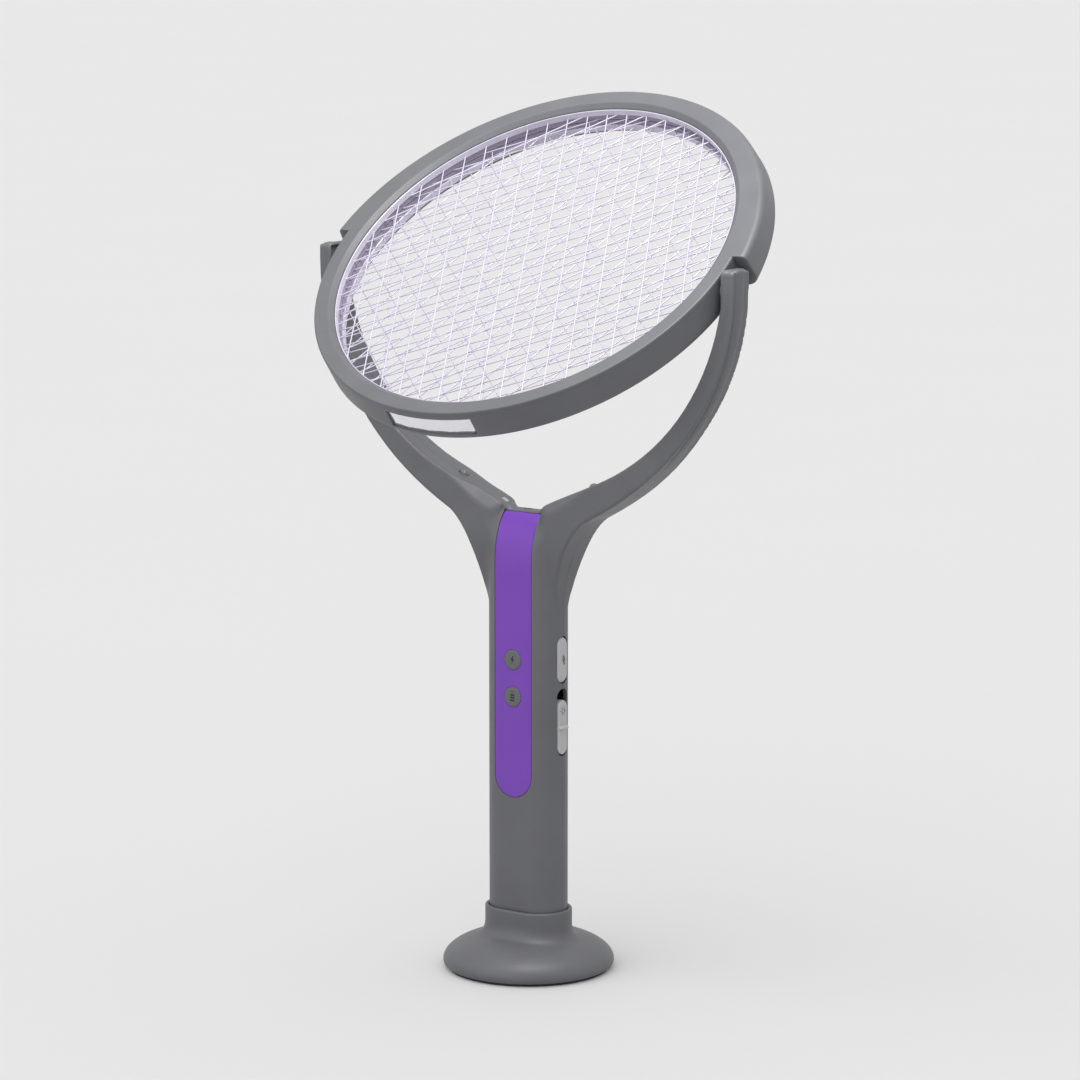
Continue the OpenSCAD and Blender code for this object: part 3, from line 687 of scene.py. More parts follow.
def circuit_board(name):
    """Green lacquer over copper tracks."""
    material, tree, shader, place = nodes_of(name)
    cells = tree.nodes.new("ShaderNodeTexVoronoi")
    cells.distance = "MANHATTAN"
    cells.feature = "F1"
    cells.inputs["Scale"].default_value = 320.0
    tree.links.new(place, cells.inputs["Vector"])
    tracks = ramp(tree, cells.outputs["Distance"], 0.38, 0.42, (0.03, 0.12, 0.05), (0.05, 0.24, 0.09))
    gloss = spread(tree, noise(tree, place, 1500.0, 2.0), 0.25, 0.4)
    connect(tree, shader, tracks, gloss, bump(tree, cells.outputs["Distance"], 0.3, 0.00008))
    return material


grey_abs = moulded("grey_abs", BODY, rough=0.46)
lens_grey = moulded("lens_grey", (0.095, 0.098, 0.106), rough=0.36, strength=0.12)
key_grey = moulded("key_grey", (0.40, 0.40, 0.41), rough=0.38, strength=0.2, vary=0.04)
sign_grey = moulded("sign_grey", (0.15, 0.15, 0.16), rough=0.5)
sign_black = moulded("sign_black", (0.008, 0.008, 0.01), rough=0.5)
purple_film = moulded("purple_film", (0.145, 0.035, 0.375), rough=0.4, grain=3200.0, strength=0.2,
                      vary=0.035)
inner_grey = moulded("inner_grey", (0.26, 0.23, 0.31), rough=0.5)
black_plastic = moulded("black_plastic", (0.012, 0.012, 0.014), rough=0.4)
rubber = moulded("rubber", (0.02, 0.02, 0.022), rough=0.75, grain=1200.0, strength=0.6)
# Painted glow: the wires' pale lilac tint and their bright, mostly diffuse colour stand for the lamps'
# glow on them, not for the wires' own metal colour.
glow_tinted_wire = metal("glow_tinted_wire", (0.57, 0.54, 0.64), rough=0.3, strength=0.02, plated=0.3)
steel = metal("steel", (0.56, 0.56, 0.58), rough=0.32)
silver = metal("silver", (0.88, 0.88, 0.9), rough=0.16)
brass = metal("brass", (0.65, 0.45, 0.18), rough=0.3)
copper = metal("copper", (0.75, 0.33, 0.16), rough=0.35)
lens_silvered = clear("lens_silvered", (0.93, 0.93, 0.96), rough=0.10, weight=0.5, silvered=0.8)
led_clear = clear("led_clear", (0.9, 0.92, 0.95), rough=0.12)
lamp_smoke = clear("lamp_smoke", (0.17, 0.172, 0.18), rough=0.25, weight=0.3)
lamp_milk = clear("lamp_milk", (0.42, 0.42, 0.44), rough=0.3, weight=0.25)
lacquer = circuit_board("lacquer")
capacitor_red = moulded("capacitor_red", (0.30, 0.03, 0.02), rough=0.25, coat=0.5)
cell_wrap = moulded("cell_wrap", (0.03, 0.11, 0.22), rough=0.25, vary=0.05)
lead_black = moulded("lead_black", (0.015, 0.015, 0.017), rough=0.5)

# CAD nodes that stay visible, by finish
CAD_FINISHES = (
    (steel, "base_weight base_screws usb_socket battery_contacts pivot_washers"),
    (steel, "left_pivot_stub right_pivot_stub"),
    (black_plastic, "base_cover tact_switch mode_switch battery_carrier light_sensor"),
    (lead_black, "left_arm_lead right_arm_lead grid_leads"),
    (led_clear, "light_pipes indicator_leds lure_lamps"),
    (inner_grey, "front_spacer_ring rear_spacer_ring"),
    (brass, "left_pivot_bush right_pivot_bush"),
    (lacquer, "main_board lamp_board"),
    (rubber, "base_pad"),
    (grey_abs, "end_cap"),
    (copper, "boost_transformer"),
    (capacitor_red, "storage_capacitors"),
    (cell_wrap, "battery_cell"),
    (lamp_smoke, "arm_lamps"),
    (lamp_milk, "crotch_lamps"),
)


def finish_cad_nodes():
    for material, names in CAD_FINISHES:
        for name in names.split():
            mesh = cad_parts[name].data
            mesh.materials.clear()
            mesh.materials.append(material)


# ---------- stand ----------

def dome_height(r):
    return DOME_SIDE + (DOME_TOP - DOME_SIDE) * math.sqrt(max(1 - (r / STAND_R) ** 2, 0))


def build_stand():
    """Dome and collar in one skin: sections run from the socket's floor, over the rim and dome, inside."""
    steps = 20
    right = np.radians(np.linspace(-90, 90, 2 * steps + 1))
    flat = np.linspace(1, -1, 9)[1:-1]
    columns = [(math.cos(a), math.sin(a), 1.0) for a in right]
    columns += [(0.0, 1.0, f) for f in flat]
    columns += [(-math.cos(a), -math.sin(a), -1.0) for a in right]
    columns += [(0.0, -1.0, -f) for f in flat]

    sections = []
    for c, s, offset in columns:
        def spot(rho, z):
            return np.array([COLLAR_FLAT * offset + rho * c, rho * s, z])

        line = [spot(1.0, SOCKET_FLOOR), spot(SOCKET_R - 0.6, SOCKET_FLOOR)]
        line.append(spot(SOCKET_R, SOCKET_FLOOR + 0.6))
        line += [spot(SOCKET_R, z) for z in (15, 22, COLLAR_TOP - 0.9)]
        lip = (COLLAR_R - SOCKET_R) / 2
        for a in np.radians(np.linspace(160, 15, 7)):
            line.append(spot(SOCKET_R + lip + lip * math.cos(a), COLLAR_TOP - 0.9 + 0.9 * math.sin(a)))
        line += [spot(COLLAR_R, z) for z in (COLLAR_TOP - 1.2, 28, 25.5)]
        foot = spot(COLLAR_R, 0)
        radius = math.hypot(foot[0], foot[1])
        out = np.append(foot[:2] / radius, 0.0)
        root = dome_height(radius)
        far = radius + 6.5
        start, corner = np.array([radius, root + 6.0]), np.array([radius, root - 0.6])
        end = np.array([far, dome_height(far)])
        for t in np.linspace(0, 1, 10):
            r, z = (1 - t) ** 2 * start + 2 * t * (1 - t) * corner + t * t * end
            line.append(out * r + (0, 0, z))
        first = math.acos(far / STAND_R)
        for a in np.linspace(first, 0, 18)[1:]:
            r = STAND_R * math.cos(a)
            z = DOME_SIDE + (DOME_TOP - DOME_SIDE) * math.sin(a)
            line.append(out * r + (0, 0, z))
        for r, z in STAND_FOOT:
            line.append(out * r + (0, 0, z))
        for a in np.radians(np.linspace(4, 52, 10)):
            r = (STAND_R - DOME_WALL) * math.cos(a)
            z = DOME_SIDE + (DOME_TOP - DOME_SIDE - DOME_WALL) * math.sin(a)
            line.append(out * r + (0, 0, z))
        line += [spot(COLLAR_R, 13.5), spot(COLLAR_R, 7.4), spot(COLLAR_R - 1.0, SOCKET_FLOOR - WALL)]
        line += [spot(1.0, SOCKET_FLOOR - WALL)]
        sections.append(np.array(line))
    points, faces = loft(sections, closed=True)
    count, length = len(sections), len(sections[0])
    floor_top = [i * length for i in range(count)]
    floor_under = [i * length + length - 1 for i in range(count)]
    faces = [f for f in faces if {f[0] % length, f[2] % length} != {0, length - 1}]
    return points, faces + [floor_top, floor_under[::-1]]


def stand_pieces():
    stand = make("stand_housing", build_stand(), grey_abs, sharp=40)
    spots = []
    for angle in np.radians(STAND_POST_ANGLES):
        spots.append((STAND_POST_R * math.cos(angle), STAND_POST_R * math.sin(angle)))
    carve(stand, join([rod(3.2, 2, COVER_TOP, 12.2, spot) for spot in spots]), "UNION")
    carve(stand, join([rod(1.45, 2, 0, 11, spot) for spot in spots]))
    fit(stand, "stand", "body_grey", "base_shell")


# ---------- handle ----------

def bar(x0, x1, z0, z1):
    return np.array([(x0, z0), (x1, z0), (x1, z1), (x0, z1)])


def slot_prism(length, z_mid):
    """Opening in the right flank for a key of this length."""
    outline = stadium_outline(KEY_W + 2 * KEY_GAP, length + 2 * KEY_GAP)
    return prism(outline + np.array([0, z_mid]), 0, 14.2, 26)


def tilted_box(side):
    """The seat of a crotch lamp, square to the crotch's slope and open at the top."""
    turn = math.radians(27.8)
    w, d, low, high = 1.85, 1.55, -1.6, 7.6
    corners = []
    for a, c in ((-w, low), (w, low), (w, high), (-w, high)):
        x = a * math.cos(turn) - c * math.sin(turn)
        z = a * math.sin(turn) + c * math.cos(turn)
        corners.append((side * (14.4 + x), 231.2 + z))
    return prism(corners, 1, -d, d)


def shared_openings():
    """Openings that the part line runs through."""
    shapes = [
        slot_prism(BUTTON_LEN, BUTTON_Z),
        slot_prism(SLOT_TOP - SLOT_BOTTOM, (SLOT_TOP + SLOT_BOTTOM) / 2),
        prism(bar(-2.55, 2.55, -1.15, 1.15), 2, 220, 240),
    ]
    for side in (-1, 1):
        ends = sorted((side * (ARM_INNER - 3), side * BUSH_END))
        shapes.append(rod(BUSH_R, 0, ends[0], ends[1], (0, PIVOT_Z)))
        shapes.append(rod(2.6, 2, 236.5, 252, (side * 38.7, 0)))
        shapes.append(tilted_box(side))
    return shapes


def half_box(side):
    """The room that one shell may fill, in front of the part line or behind it."""
    near, far = (PART_LINE, 40) if side > 0 else (-40, -PART_LINE)
    return prism(bar(-150, 150, near, far), 2, GRIP_BOTTOM, 400)


def usb_opening():
    outline = stadium_outline(3.5, 9.4)[:, ::-1] + np.array([0, 107.5])
    return prism(outline, 1, 6, 20)


def handle_pieces():
    """One hollow skin for the whole handle, then cut into its two shells."""
    low = (-ARM_OUTER - 1.6, -GRIP_R - 1.6, GRIP_BOTTOM - 3)
    high = (ARM_OUTER + 1.6, GRIP_R + 1.6, ARM_TOP + 1.6)
    pitch = 0.85
    points, faces = surface_nets(shell_field, low, high, pitch)
    points = settle(points, shell_field)
    for name, side in (("front_housing", -1), ("rear_housing", 1)):
        shell = make(name, (points, faces), grey_abs)
        carve(shell, half_box(side), "INTERSECT")
        cuts = shared_openings()
        if side < 0:
            cuts.append(panel_shape(PANEL_GAP, 2.0, PANEL_T + 0.1, 0.0))
        else:
            cuts.append(usb_opening())
        carve(shell, join(cuts))
        if side < 0:
            bores = [rod(2.62, 1, -13, -6, (0, z)) for z in (BOLT_Z, BATTERY_Z)]
            bores += [rod(1.26, 1, tip, 0.5, (x, z)) for x, z, _, tip in SHELL_SCREWS]
        else:
            bores = [screw_bore(x, z, seat) for x, z, seat, _ in SHELL_SCREWS]
        carve(shell, join(bores))
        fit(shell, "handle", "body_grey", "front_shell" if side < 0 else "rear_shell")


def screw_bore(x, z, seat):
    """Through hole with its counterbore, from the back."""
    return round_form(((1.42, -1.0), (1.42, seat), (2.4, seat), (2.4, 22)), 1, (x, z), 40)


def pan_screw(head_r, head_h, shaft_r, shaft_len):
    """Pan-head screw along Z, head up, with a thread and room for a cross recess."""
    profile = [(0.05, -shaft_len), (shaft_r * 0.45, -shaft_len + 0.15)]
    turns = int(shaft_len / 0.7)
    for i in range(1, turns):
        level = -shaft_len + 0.5 + i * 0.7
        profile += [(shaft_r, level), (shaft_r * 0.8, level + 0.35)]
    profile = [p for p in profile if p[1] < -0.4] + [(shaft_r * 0.85, -0.2), (shaft_r * 0.85, 0.0)]
    profile += [(head_r, 0.02), (head_r, head_h * 0.55), (head_r * 0.9, head_h * 0.85)]
    profile += [(head_r * 0.7, head_h), (0.1, head_h)]
    return round_form(profile, 2, (0, 0), 28)


def cross_cut(head_r, head_h):
    """Tapered cross for the driver."""
    arm, half = head_r * 0.62, head_r * 0.16
    corner = np.array([(arm, -half), (arm, half), (half, half)])
    quarters = []
    for turn in range(4):
        quarters.append(corner)
        corner = np.stack([-corner[:, 1], corner[:, 0]], axis=1)
    outline = np.concatenate(quarters)
    deep = np.insert(outline * 0.5, 2, head_h * 0.35, axis=1)
    top = np.insert(outline * 1.08, 2, head_h * 1.1, axis=1)
    return loft([deep, top])


def screw_mesh(name, head_r, head_h, shaft_r, shaft_len):
    """Points and faces of one screw with its recess cut."""
    one = make(name, pan_screw(head_r, head_h, shaft_r, shaft_len), steel)
    carve(one, cross_cut(head_r, head_h))
    mesh = one.data
    points = np.array([v.co for v in mesh.vertices]) / MM
    faces = [list(p.vertices) for p in mesh.polygons]
    bpy.data.objects.remove(one)
    bpy.data.meshes.remove(mesh)
    return points, faces


def turned(shape, place):
    """A shape with its points moved by a function."""
    points, faces = shape
    return place(points), faces


def screw_pieces():
    shapes = []
    for x, z, seat, tip in SHELL_SCREWS:
        screw = screw_mesh("shell_screw", 2.15, 1.4, 1.2, seat - tip - 0.2)
        spin = 0.4 * x + z

        def place(p, x=x, z=z, seat=seat, spin=spin):
            c, s = math.cos(spin), math.sin(spin)
            u, v = c * p[:, 0] - s * p[:, 1], s * p[:, 0] + c * p[:, 1]
            return np.stack([x - u, seat + p[:, 2], z + v], axis=1)

        shapes.append(turned(screw, place))
    fit(make("shell_fixings", join(shapes), steel), "handle", "steel", "shell_screws")
    screw = screw_mesh("rim_screw", 1.55, 1.2, 0.8, 12)
    shapes = []
    for angle in RIM_SCREW_ANGLES:
        a = math.radians(angle)

        def place(p, a=a):
            x = RIM_SCREW_R * math.cos(a) + p[:, 0]
            y = RIM_SCREW_R * math.sin(a) - p[:, 1]
            return ring_place(np.stack([x, y, 1.85 - HALF_T - p[:, 2]], axis=1))

        shapes.append(turned(screw, place))
    fit(make("rim_fixings", join(shapes), steel), "head", "steel", "rim_screws")


# ---------- panel, signs, keys ----------

def lens_shape(z_mid):
    """Round indicator lens, slightly crowned, on the panel."""
    back = PANEL_T - GRIP_R - 0.05
    front = -GRIP_R - 0.05
    profile = [(INDICATOR_R - 0.12, back), (INDICATOR_R - 0.05, back - 0.1)]
    profile += [(INDICATOR_R - 0.05, front + 0.3), (INDICATOR_R - 0.15, front + 0.1)]
    profile += [(INDICATOR_R - 0.4, front), (3.6, front - 0.03), (2.0, front - 0.05), (0.3, front - 0.05)]
    return round_form(profile, 1, (0, z_mid), 64)


def panel_pieces():
    panel = make("accent_strip", panel_shape(0.0, 0.0, PANEL_T, 0.18), purple_film)
    seats = [rod(INDICATOR_R + 0.08, 1, -20, 0, (0, z), 64) for z in (BOLT_Z, BATTERY_Z)]
    carve(panel, join(seats))
    fit(panel, "handle", "accent_purple", "accent_panel")
    upper = make("upper_lens", lens_shape(BOLT_Z), lens_grey)
    lower = make("lower_lens", lens_shape(BATTERY_Z), lens_grey)
    fit(upper, "handle", "body_grey", "upper_indicator_lens")
    fit(lower, "handle", "body_grey", "lower_indicator_lens")
    y0, y1 = -GRIP_R - 0.17, -GRIP_R - 0.02
    bolt = np.array(BOLT) * np.array([1.75, 2.0]) + np.array([0, BOLT_Z])
    fit(make("bolt_sign", prism(bolt, 1, y0, y1), sign_black), "handle", "black_plastic")
    bars = [bar(-1.25, 1.25, z - 0.38, z + 0.38) for z in (-1.7, -0.35, 1.0)]
    bars.append(bar(-0.55, 0.55, 2.3, 2.65))
    battery = join([prism(b + np.array([0, BATTERY_Z]), 1, y0, y1) for b in bars])
    fit(make("battery_sign", battery, sign_black), "handle", "black_plastic")


def flange_shape(width, length, z_mid):
    """Flat plate behind the flank that keeps a key in."""
    outline = stadium_outline(width, length) + np.array([0, z_mid])
    return prism(outline, 0, FLANGE_X, FLANGE_X + FLANGE_T)


def key_pieces():
    button_form = key_shape(KEY_W, BUTTON_LEN, FLANGE_X, KEY_FACE_X, 0.9, 0.35, 60, BUTTON_Z)
    button = make("trigger_key", button_form, key_grey, 40)
    carve(button, flange_shape(KEY_W + 1.4, BUTTON_LEN + 2, BUTTON_Z), "UNION", 40)
    carve(button, rod(1.6, 0, 13.4, FLANGE_X + 0.3, (0, BUTTON_Z)), "UNION", 40)
    fit(button, "trigger", "control_grey", "trigger_button")
    bolt = np.array(BOLT) * np.array([1.5, 2.3])
    sign = on_side(bolt, KEY_FACE_X - 0.5, KEY_FACE_X + SIGN_UP, BUTTON_Z)
    fit(make("trigger_sign", sign, sign_grey), "trigger", "control_grey")

    face = KEY_FACE_X - 0.6
    slider_form = key_shape(KEY_W - 0.4, SLIDER_LEN, FLANGE_X, face, 0.7, 0.15, math.inf, SLIDER_Z)
    slider = make("slider_key", slider_form, key_grey, 40)
    half = (KEY_W + 1.4) / 2
    plate = prism(bar(-half, half, SLIDER_Z - 8, SLIDER_Z + 8), 0, FLANGE_X, FLANGE_X + FLANGE_T)
    carve(slider, plate, "UNION", 40)
    carve(slider, ridge_shape(face), "UNION", 40)
    foot = prism(bar(-0.6, 1.0, SLIDER_Z - 3.6, SLIDER_Z + 0.4), 0, 9.6, FLANGE_X + 0.6)
    carve(slider, foot, "UNION", 40)
    fit(slider, "slider", "control_grey", "mode_slider")
    fit(make("slider_sign", lamp_sign(face), sign_grey), "slider", "control_grey")


def ridge_shape(face):
    """Rounded grip ridge across the slider."""
    half, sections = KEY_W / 2 - 0.35, []
    for share, y in zip(np.sin(np.radians(np.linspace(8, 172, 15))), np.linspace(-half, half, 15)):
        a = np.radians(np.linspace(0, 180, 13))
        grow = 0.35 + 0.65 * min(share * 2.2, 1.0)
        x = face - 0.5 + (1.9 * grow) * np.sin(a)
        z = SLIDER_Z + 1.15 * grow * np.cos(a)
        sections.append(np.stack([x, np.full(13, y), z], axis=1))
    return loft(sections)


def lamp_sign(face):
    """Small lamp with rays, raised on the slider."""
    z_mid = SLIDER_Z + 8.2
    x0, x1 = face - 0.4, face + 0.06
    outer, inner = circle_points(1.25, 28), circle_points(0.85, 28)
    rings = [np.insert(ring + np.array([0, z_mid]), 0, x, axis=1)
             for x, ring in ((x0, outer), (x1, outer), (x1, inner), (x0, inner))]
    shapes = [loft(rings, closed=True)]
    for angle in range(0, 360, 60):
        a = math.radians(angle)
        d = np.array([math.cos(a), math.sin(a)])
        n = 0.17 * np.array([-math.sin(a), math.cos(a)])
        ray = np.array([d * 1.6 - n, d * 2.3 - n, d * 2.3 + n, d * 1.6 + n])
        shapes.append(prism(ray + np.array([0, z_mid]), 0, x0, x1))
    return join(shapes)


# ---------- ring ----------

def ring_angles():
    """Angles round the ring, closer together where its outline steps at the arms."""
    regular = np.arange(0, 360, 1.25)
    near = np.insert(STEP_MARKS, 0, -0.3)
    steps = np.concatenate([STEP_ANGLE + near, 180 - STEP_ANGLE - near])
    keep = [a for a in regular if np.min(np.abs(steps - a)) > 0.4]
    return np.unique(np.concatenate([keep, steps]))


def upper_share(angle):
    """0 on the plain lower part of the ring, 1 on the wide upper part."""
    beyond = min(angle, 180 - angle) if angle <= 180 else -1.0
    return float(np.interp(beyond, STEP_ANGLE + STEP_MARKS, STEP_SHARES))


def ring_edge(angle):
    """Outer radius of the ring, the rounding of its front edge, and how far that edge leans in."""
    share, a = upper_share(angle), math.radians(angle)
    up = -UP_DROP * math.sin(a) + math.sqrt(UP_R ** 2 - (UP_DROP * math.cos(a)) ** 2)
    rounding = LOW_ROUND + (SHOULDER_ROUND - LOW_ROUND) * share
    return LOW_R + (up - LOW_R) * share, rounding, SHOULDER_LEAN * share


def edge_at(t, r, rounding, lean):
    """Outer radius at the height t in front of the ring's middle."""
    rise = np.clip(t - (HALF_T - rounding), 0, rounding)
    foot = 6 - HALF_T
    leaning = lean * np.clip((t - foot) / (HALF_T - rounding - foot), 0, 1)
    return r - leaning - rounding + np.sqrt(rounding ** 2 - rise ** 2)


def housing_section(angle):
    """Section of the rear housing, as (radius, height) points."""
    r, rounding, lean = ring_edge(angle)
    back = 4 + 2 * upper_share(angle)
    levels = np.linspace(SPLIT_T, -2.8, 10)
    line = [(edge_at(t, r, rounding, lean), t) for t in levels]
    for q in np.radians(np.linspace(0, 90, 9)):
        line.append((r - back + back * math.cos(q), back - HALF_T - back * math.sin(q)))
    line += [(OPENING_R - 0.5, -HALF_T), (OPENING_R - 0.85, -HALF_T + 0.15), (LIP_R, 1.8 - HALF_T)]
    line += [(LIP_R, -LIP_T), (LIP_R + LIP_WALL, -LIP_T), (LIP_R + LIP_WALL, RIM_WALL - HALF_T)]
    turn = 2.5
    inner, floor = r - RIM_WALL, RIM_WALL - HALF_T
    for q in np.radians(np.linspace(90, 0, 6)):
        line.append((inner - turn + turn * math.cos(q), floor + turn - turn * math.sin(q)))
    line += [(edge_at(t, r, rounding, lean) - RIM_WALL, t) for t in levels[::-1]]
    return line


def cover_section(angle):
    """Section of the front cover with its bevel, lip and tongue."""
    r, rounding, lean = ring_edge(angle)
    top = r - lean
    seam = SPLIT_T + SEAM_GAP
    tongue, tongue_inner, tongue_end = LOW_R - RIM_WALL - 0.15, 109.6, 5.6
    slope = (OPENING_R - LIP_R) / BEVEL
    low = HALF_T - BEVEL
    line = [(LIP_R, LIP_T), (LIP_R, low - 0.6), (LIP_R, low - 0.15)]
    line += [(LIP_R + rise * slope, low + rise) for rise in (0.12, 0.4)]
    line += [(OPENING_R - drop * slope, HALF_T - drop) for drop in (0.4, 0.12)]
    line += [(OPENING_R + 0.15, HALF_T), (OPENING_R + 0.6, HALF_T), (top - rounding - 0.5, HALF_T)]
    last = math.asin(max(0, seam - HALF_T + rounding) / rounding)
    last = last + 0.05 if last > 0 else 0.0
    for q in np.linspace(math.pi / 2, last, 9):
        line.append((top - rounding + rounding * math.cos(q), HALF_T - rounding + rounding * math.sin(q)))
    line += [(edge_at(seam, r, rounding, lean), seam), (tongue, seam), (tongue, tongue_end)]
    line += [(tongue_inner, tongue_end), (tongue_inner, seam)]
    line += [(LIP_R + LIP_WALL, seam), (LIP_R + LIP_WALL, LIP_T)]
    return line


def at_angle(line, angle):
    """Section points (radius, height) set at an angle round the ring."""
    a = math.radians(angle)
    line = np.asarray(line, float)
    return ring_place(np.stack([line[:, 0] * math.cos(a), line[:, 0] * math.sin(a), line[:, 1]], axis=1))


def swept(section_at, angles):
    """Closed ring whose section may change with the angle."""
    return loft([at_angle(section_at(angle), angle) for angle in angles], closed=True)


def arc_block(r0, r1, half_angle, t0, t1, steps=24):
    """Block bent round the ring, about its lowest point."""
    angles = np.linspace(-90 - half_angle, -90 + half_angle, steps + 1)
    return loft([at_angle(bar(r0, r1, t0, t1), angle) for angle in angles])


def rim_screw_bore(centre):
    """Screw hole and counterbore from the ring's back."""
    profile = ((1.7, -20), (1.7, 1.8 - HALF_T), (1.0, 1.8 - HALF_T), (1.0, 1))
    return turned(round_form(profile, 2, centre, 28), ring_place)


def ring_pieces():
    housing = make("ring_housing", swept(housing_section, ring_angles()), grey_abs, RING_SHARP)
    posts, bores = [], []
    for a in np.radians(RIM_SCREW_ANGLES):
        centre = np.array([RIM_SCREW_R * math.cos(a), RIM_SCREW_R * math.sin(a)])
        posts.append(turned(rod(2.2, 2, RIM_WALL - HALF_T - 0.3, -0.1, centre, 28), ring_place))
        bores.append(rim_screw_bore(centre))
    carve(housing, join(posts), "UNION", RING_SHARP)
    bores.append(arc_block(LOW_R - 4, LOW_R + 2, WINDOW_HALF, -WINDOW_H, WINDOW_H))
    for side in (-1, 1):
        ends = sorted((side * 107.0, side * 125.0))
        bores.append(rod(STUB_R, 0, ends[0], ends[1], (0, PIVOT_Z)))
    carve(housing, join(bores), sharp=RING_SHARP)
    fit(housing, "head", "body_grey", "rear_rim")
    cover = make("ring_cover", swept(cover_section, ring_angles()), grey_abs, RING_SHARP)
    fit(cover, "head", "body_grey", "front_rim")


def lamp_window_pieces():
    """Clear faceted window over a bright reflector."""
    cells, columns = 4, 8
    steps = cells * columns
    sections = []
    half = WINDOW_HALF - 0.1
    rows = np.linspace(-1, 1, 9)
    for i in range(steps + 1):
        u = abs((i % columns) / (columns / 2) - 1) if i < steps else 1.0
        line = []
        for v in rows:
            facet = 0.9 * (1 - max(abs(u), abs(v)))
            line.append((LOW_R - 0.95 + facet, v * (WINDOW_H - 0.05)))
        for v in rows[::-1]:
            line.append((LOW_R - RIM_WALL, v * (WINDOW_H - 0.05)))
        sections.append(at_angle(line, -90 - half + 2 * half * i / steps))
    window = make("lamp_lens", loft(sections), lens_silvered, 8)
    fit(window, "head", "clear_lens", "lamp_window")
    tall = WINDOW_H - 0.2
    reflector = arc_block(LOW_R - 4.6, LOW_R - 4.3, WINDOW_HALF - 0.6, -tall, tall)
    fit(make("lamp_reflector", reflector, silver), "head", "steel")


def straight_wires(angle, pitch, t, reach, bow=0.22):
    """Parallel wires across the ring; each has its own very slight bow."""
    shapes = []
    a = math.radians(angle)
    along, across = np.array([math.cos(a), math.sin(a)]), np.array([-math.sin(a), math.cos(a)])
    count = int(reach / pitch) + 1
    for i in range(-count, count + 1):
        d = (i + 0.5) * pitch
        if abs(d) > reach - 1.0:
            continue
        end = math.sqrt(reach ** 2 - d ** 2)
        s = np.linspace(-end, end, 9)
        sway = bow * RANDOM.uniform(-1, 1) * np.cos(s / end * math.pi / 2)
        flat = along * s[:, None] + across * (d + sway)[:, None]
        line = ring_place(np.insert(flat, 2, t, axis=1))
        shapes.append(tube(line, WIRE_D / 2))
    return shapes


def border_ring(t0, t1, inner):
    """Flat border of the live mesh."""
    soft = 0.2
    line = [(inner, t0 + soft), (inner + soft, t0), (BORDER_R, t0)]
    line += [(BORDER_R, t1), (inner + soft, t1), (inner, t1 - soft)]
    return swept(lambda a: line, np.arange(0, 360, 2.5))


def collared_border(side):
    """Border of a guard mesh: flat, with a collar that stands inside the ring's lip."""
    inner, low, top, soft = MESH_LIP_R - MESH_LIP_WALL, LIP_T - 1, MESH_LIP_TOP, 0.15
    line = [(inner, low + soft), (inner + soft, low), (BORDER_R, low), (BORDER_R, LIP_T)]
    line += [(MESH_LIP_R, LIP_T), (MESH_LIP_R, top - soft), (MESH_LIP_R - soft, top)]
    line += [(inner + soft, top), (inner, top - soft)]
    line = [(r, side * t) for r, t in line]
    return swept(lambda a: line, np.arange(0, 360, 2.5))


def grid_pieces():
    """Two guard meshes with crossing wires, and the finer live mesh between them."""
    reach = MESH_LIP_R - 0.2
    depth = LIP_T - WIRE_D / 2 - 0.02
    layers = (("front_mesh", "front_guard_grid", 1, (112, 42)),
              ("rear_mesh", "rear_guard_grid", -1, (68, 138)))
    for name, node, side, (first, second) in layers:
        mesh = straight_wires(first, GUARD_PITCH, side * depth, reach)
        mesh += straight_wires(second, GUARD_PITCH, side * (depth - 0.5), reach)
        mesh.append(collared_border(side))
        fit(make(name, join(mesh), glow_tinted_wire, 40), "head", "grid_wire", node)
    live = straight_wires(LIVE_ANGLE, LIVE_PITCH, 0.15, LIP_R + 1)
    live += straight_wires(LIVE_ANGLE + 90, LIVE_TIE_PITCH, -0.35, LIP_R + 1, bow=0)
    live.append(border_ring(-0.5, 0.5, LIP_R + 0.6))
    fit(make("live_mesh", join(live), glow_tinted_wire, 40), "head", "grid_wire", "live_grid")


# ---------- studio ----------

def soft_light(name, towards, strength, spread_angle):
    """Far, wide, even light from one direction, so that the floor stays even."""
    data = bpy.data.lights.new(name, "SUN")
    data.energy = strength
    data.angle = math.radians(spread_angle)
    obj = add_object(name, data)
    obj.location = Vector(towards) * 2
    obj.rotation_euler = Vector(towards).to_track_quat("Z", "Y").to_euler()


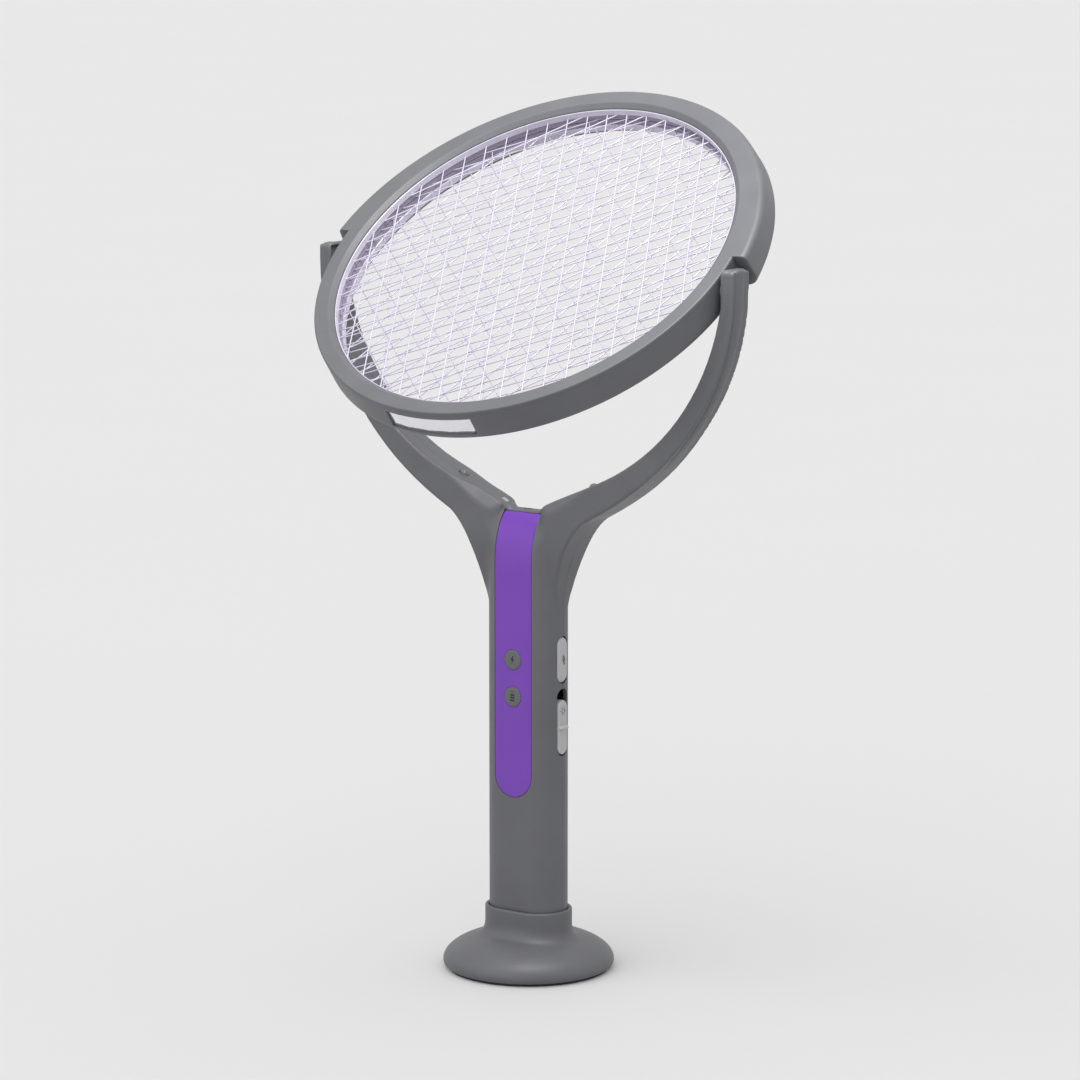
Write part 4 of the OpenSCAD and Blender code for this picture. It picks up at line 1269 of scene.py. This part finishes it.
def near_light(name, spot, size, power, floor):
    """Round soft box above the head; the floor doesn't receive it, so that it stays even."""
    data = bpy.data.lights.new(name, "AREA")
    data.shape = "DISK"
    data.size = size
    data.energy = power
    obj = add_object(name, data)
    obj.location = Vector(spot)
    obj.rotation_euler = (Vector(spot) - Vector((0, 0, PIVOT_Z * MM))).to_track_quat("Z", "Y").to_euler()
    obj.visible_camera = False
    unlit = bpy.data.collections.new("not_lit_by_" + name)
    unlit.objects.link(floor)
    unlit.collection_objects[0].light_linking.link_state = "EXCLUDE"
    obj.light_linking.receiver_collection = unlit


def studio():
    """Wide pale floor under an even sky, and soft light."""
    material, tree, shader, place = nodes_of("paper")
    tint = ramp(tree, noise(tree, place, 3.0), 0.3, 0.7, (0.875, 0.875, 0.875), (0.88, 0.88, 0.88))
    tree.links.new(tint, shader.inputs["Base Color"])
    shader.inputs["Roughness"].default_value = 0.95
    shader.inputs["Specular IOR Level"].default_value = 0.1
    rim = [(x * MM, y * MM, 0.0) for x, y in circle_points(20000, 96)]
    disc = bpy.data.meshes.new("floor")
    disc.from_pydata(rim, [], [list(range(96))])
    disc.materials.append(material)
    floor = add_object("floor", disc)
    world = bpy.data.worlds.new("studio")
    bpy.context.scene.world = world
    world.use_nodes = True
    sky = world.node_tree.nodes["Background"]
    sky.inputs["Color"].default_value = (SKY, SKY, SKY, 1)
    sky.inputs["Strength"].default_value = 1.0
    soft_light("front", (-0.20, -0.75, 0.63), 0.85, 90)
    near_light("top", (0.15, -0.12, 0.86), 0.4, 4.9, floor)


def camera():
    """Long lens, from the right of the front and a little above."""
    data = bpy.data.cameras.new("camera")
    data.lens = 140
    data.sensor_width = 36
    data.clip_end = 50
    obj = add_object("camera", data)
    azimuth, elevation = math.radians(35.05), math.radians(9.56)
    level = math.cos(elevation)
    back = Vector((math.sin(azimuth) * level, -math.cos(azimuth) * level, math.sin(elevation)))
    target, distance = Vector((0.0069, 0.0, 0.2144)), 2.043
    obj.location = target + back * distance
    obj.rotation_euler = (-back).to_track_quat("-Z", "Y").to_euler()
    bpy.context.scene.camera = obj


RANDOM = np.random.default_rng(7)

bpy.context.scene.view_settings.view_transform = "Standard"
finish_cad_nodes()
stand_pieces()
handle_pieces()
panel_pieces()
key_pieces()
screw_pieces()
ring_pieces()
lamp_window_pieces()
grid_pieces()
studio()
camera()
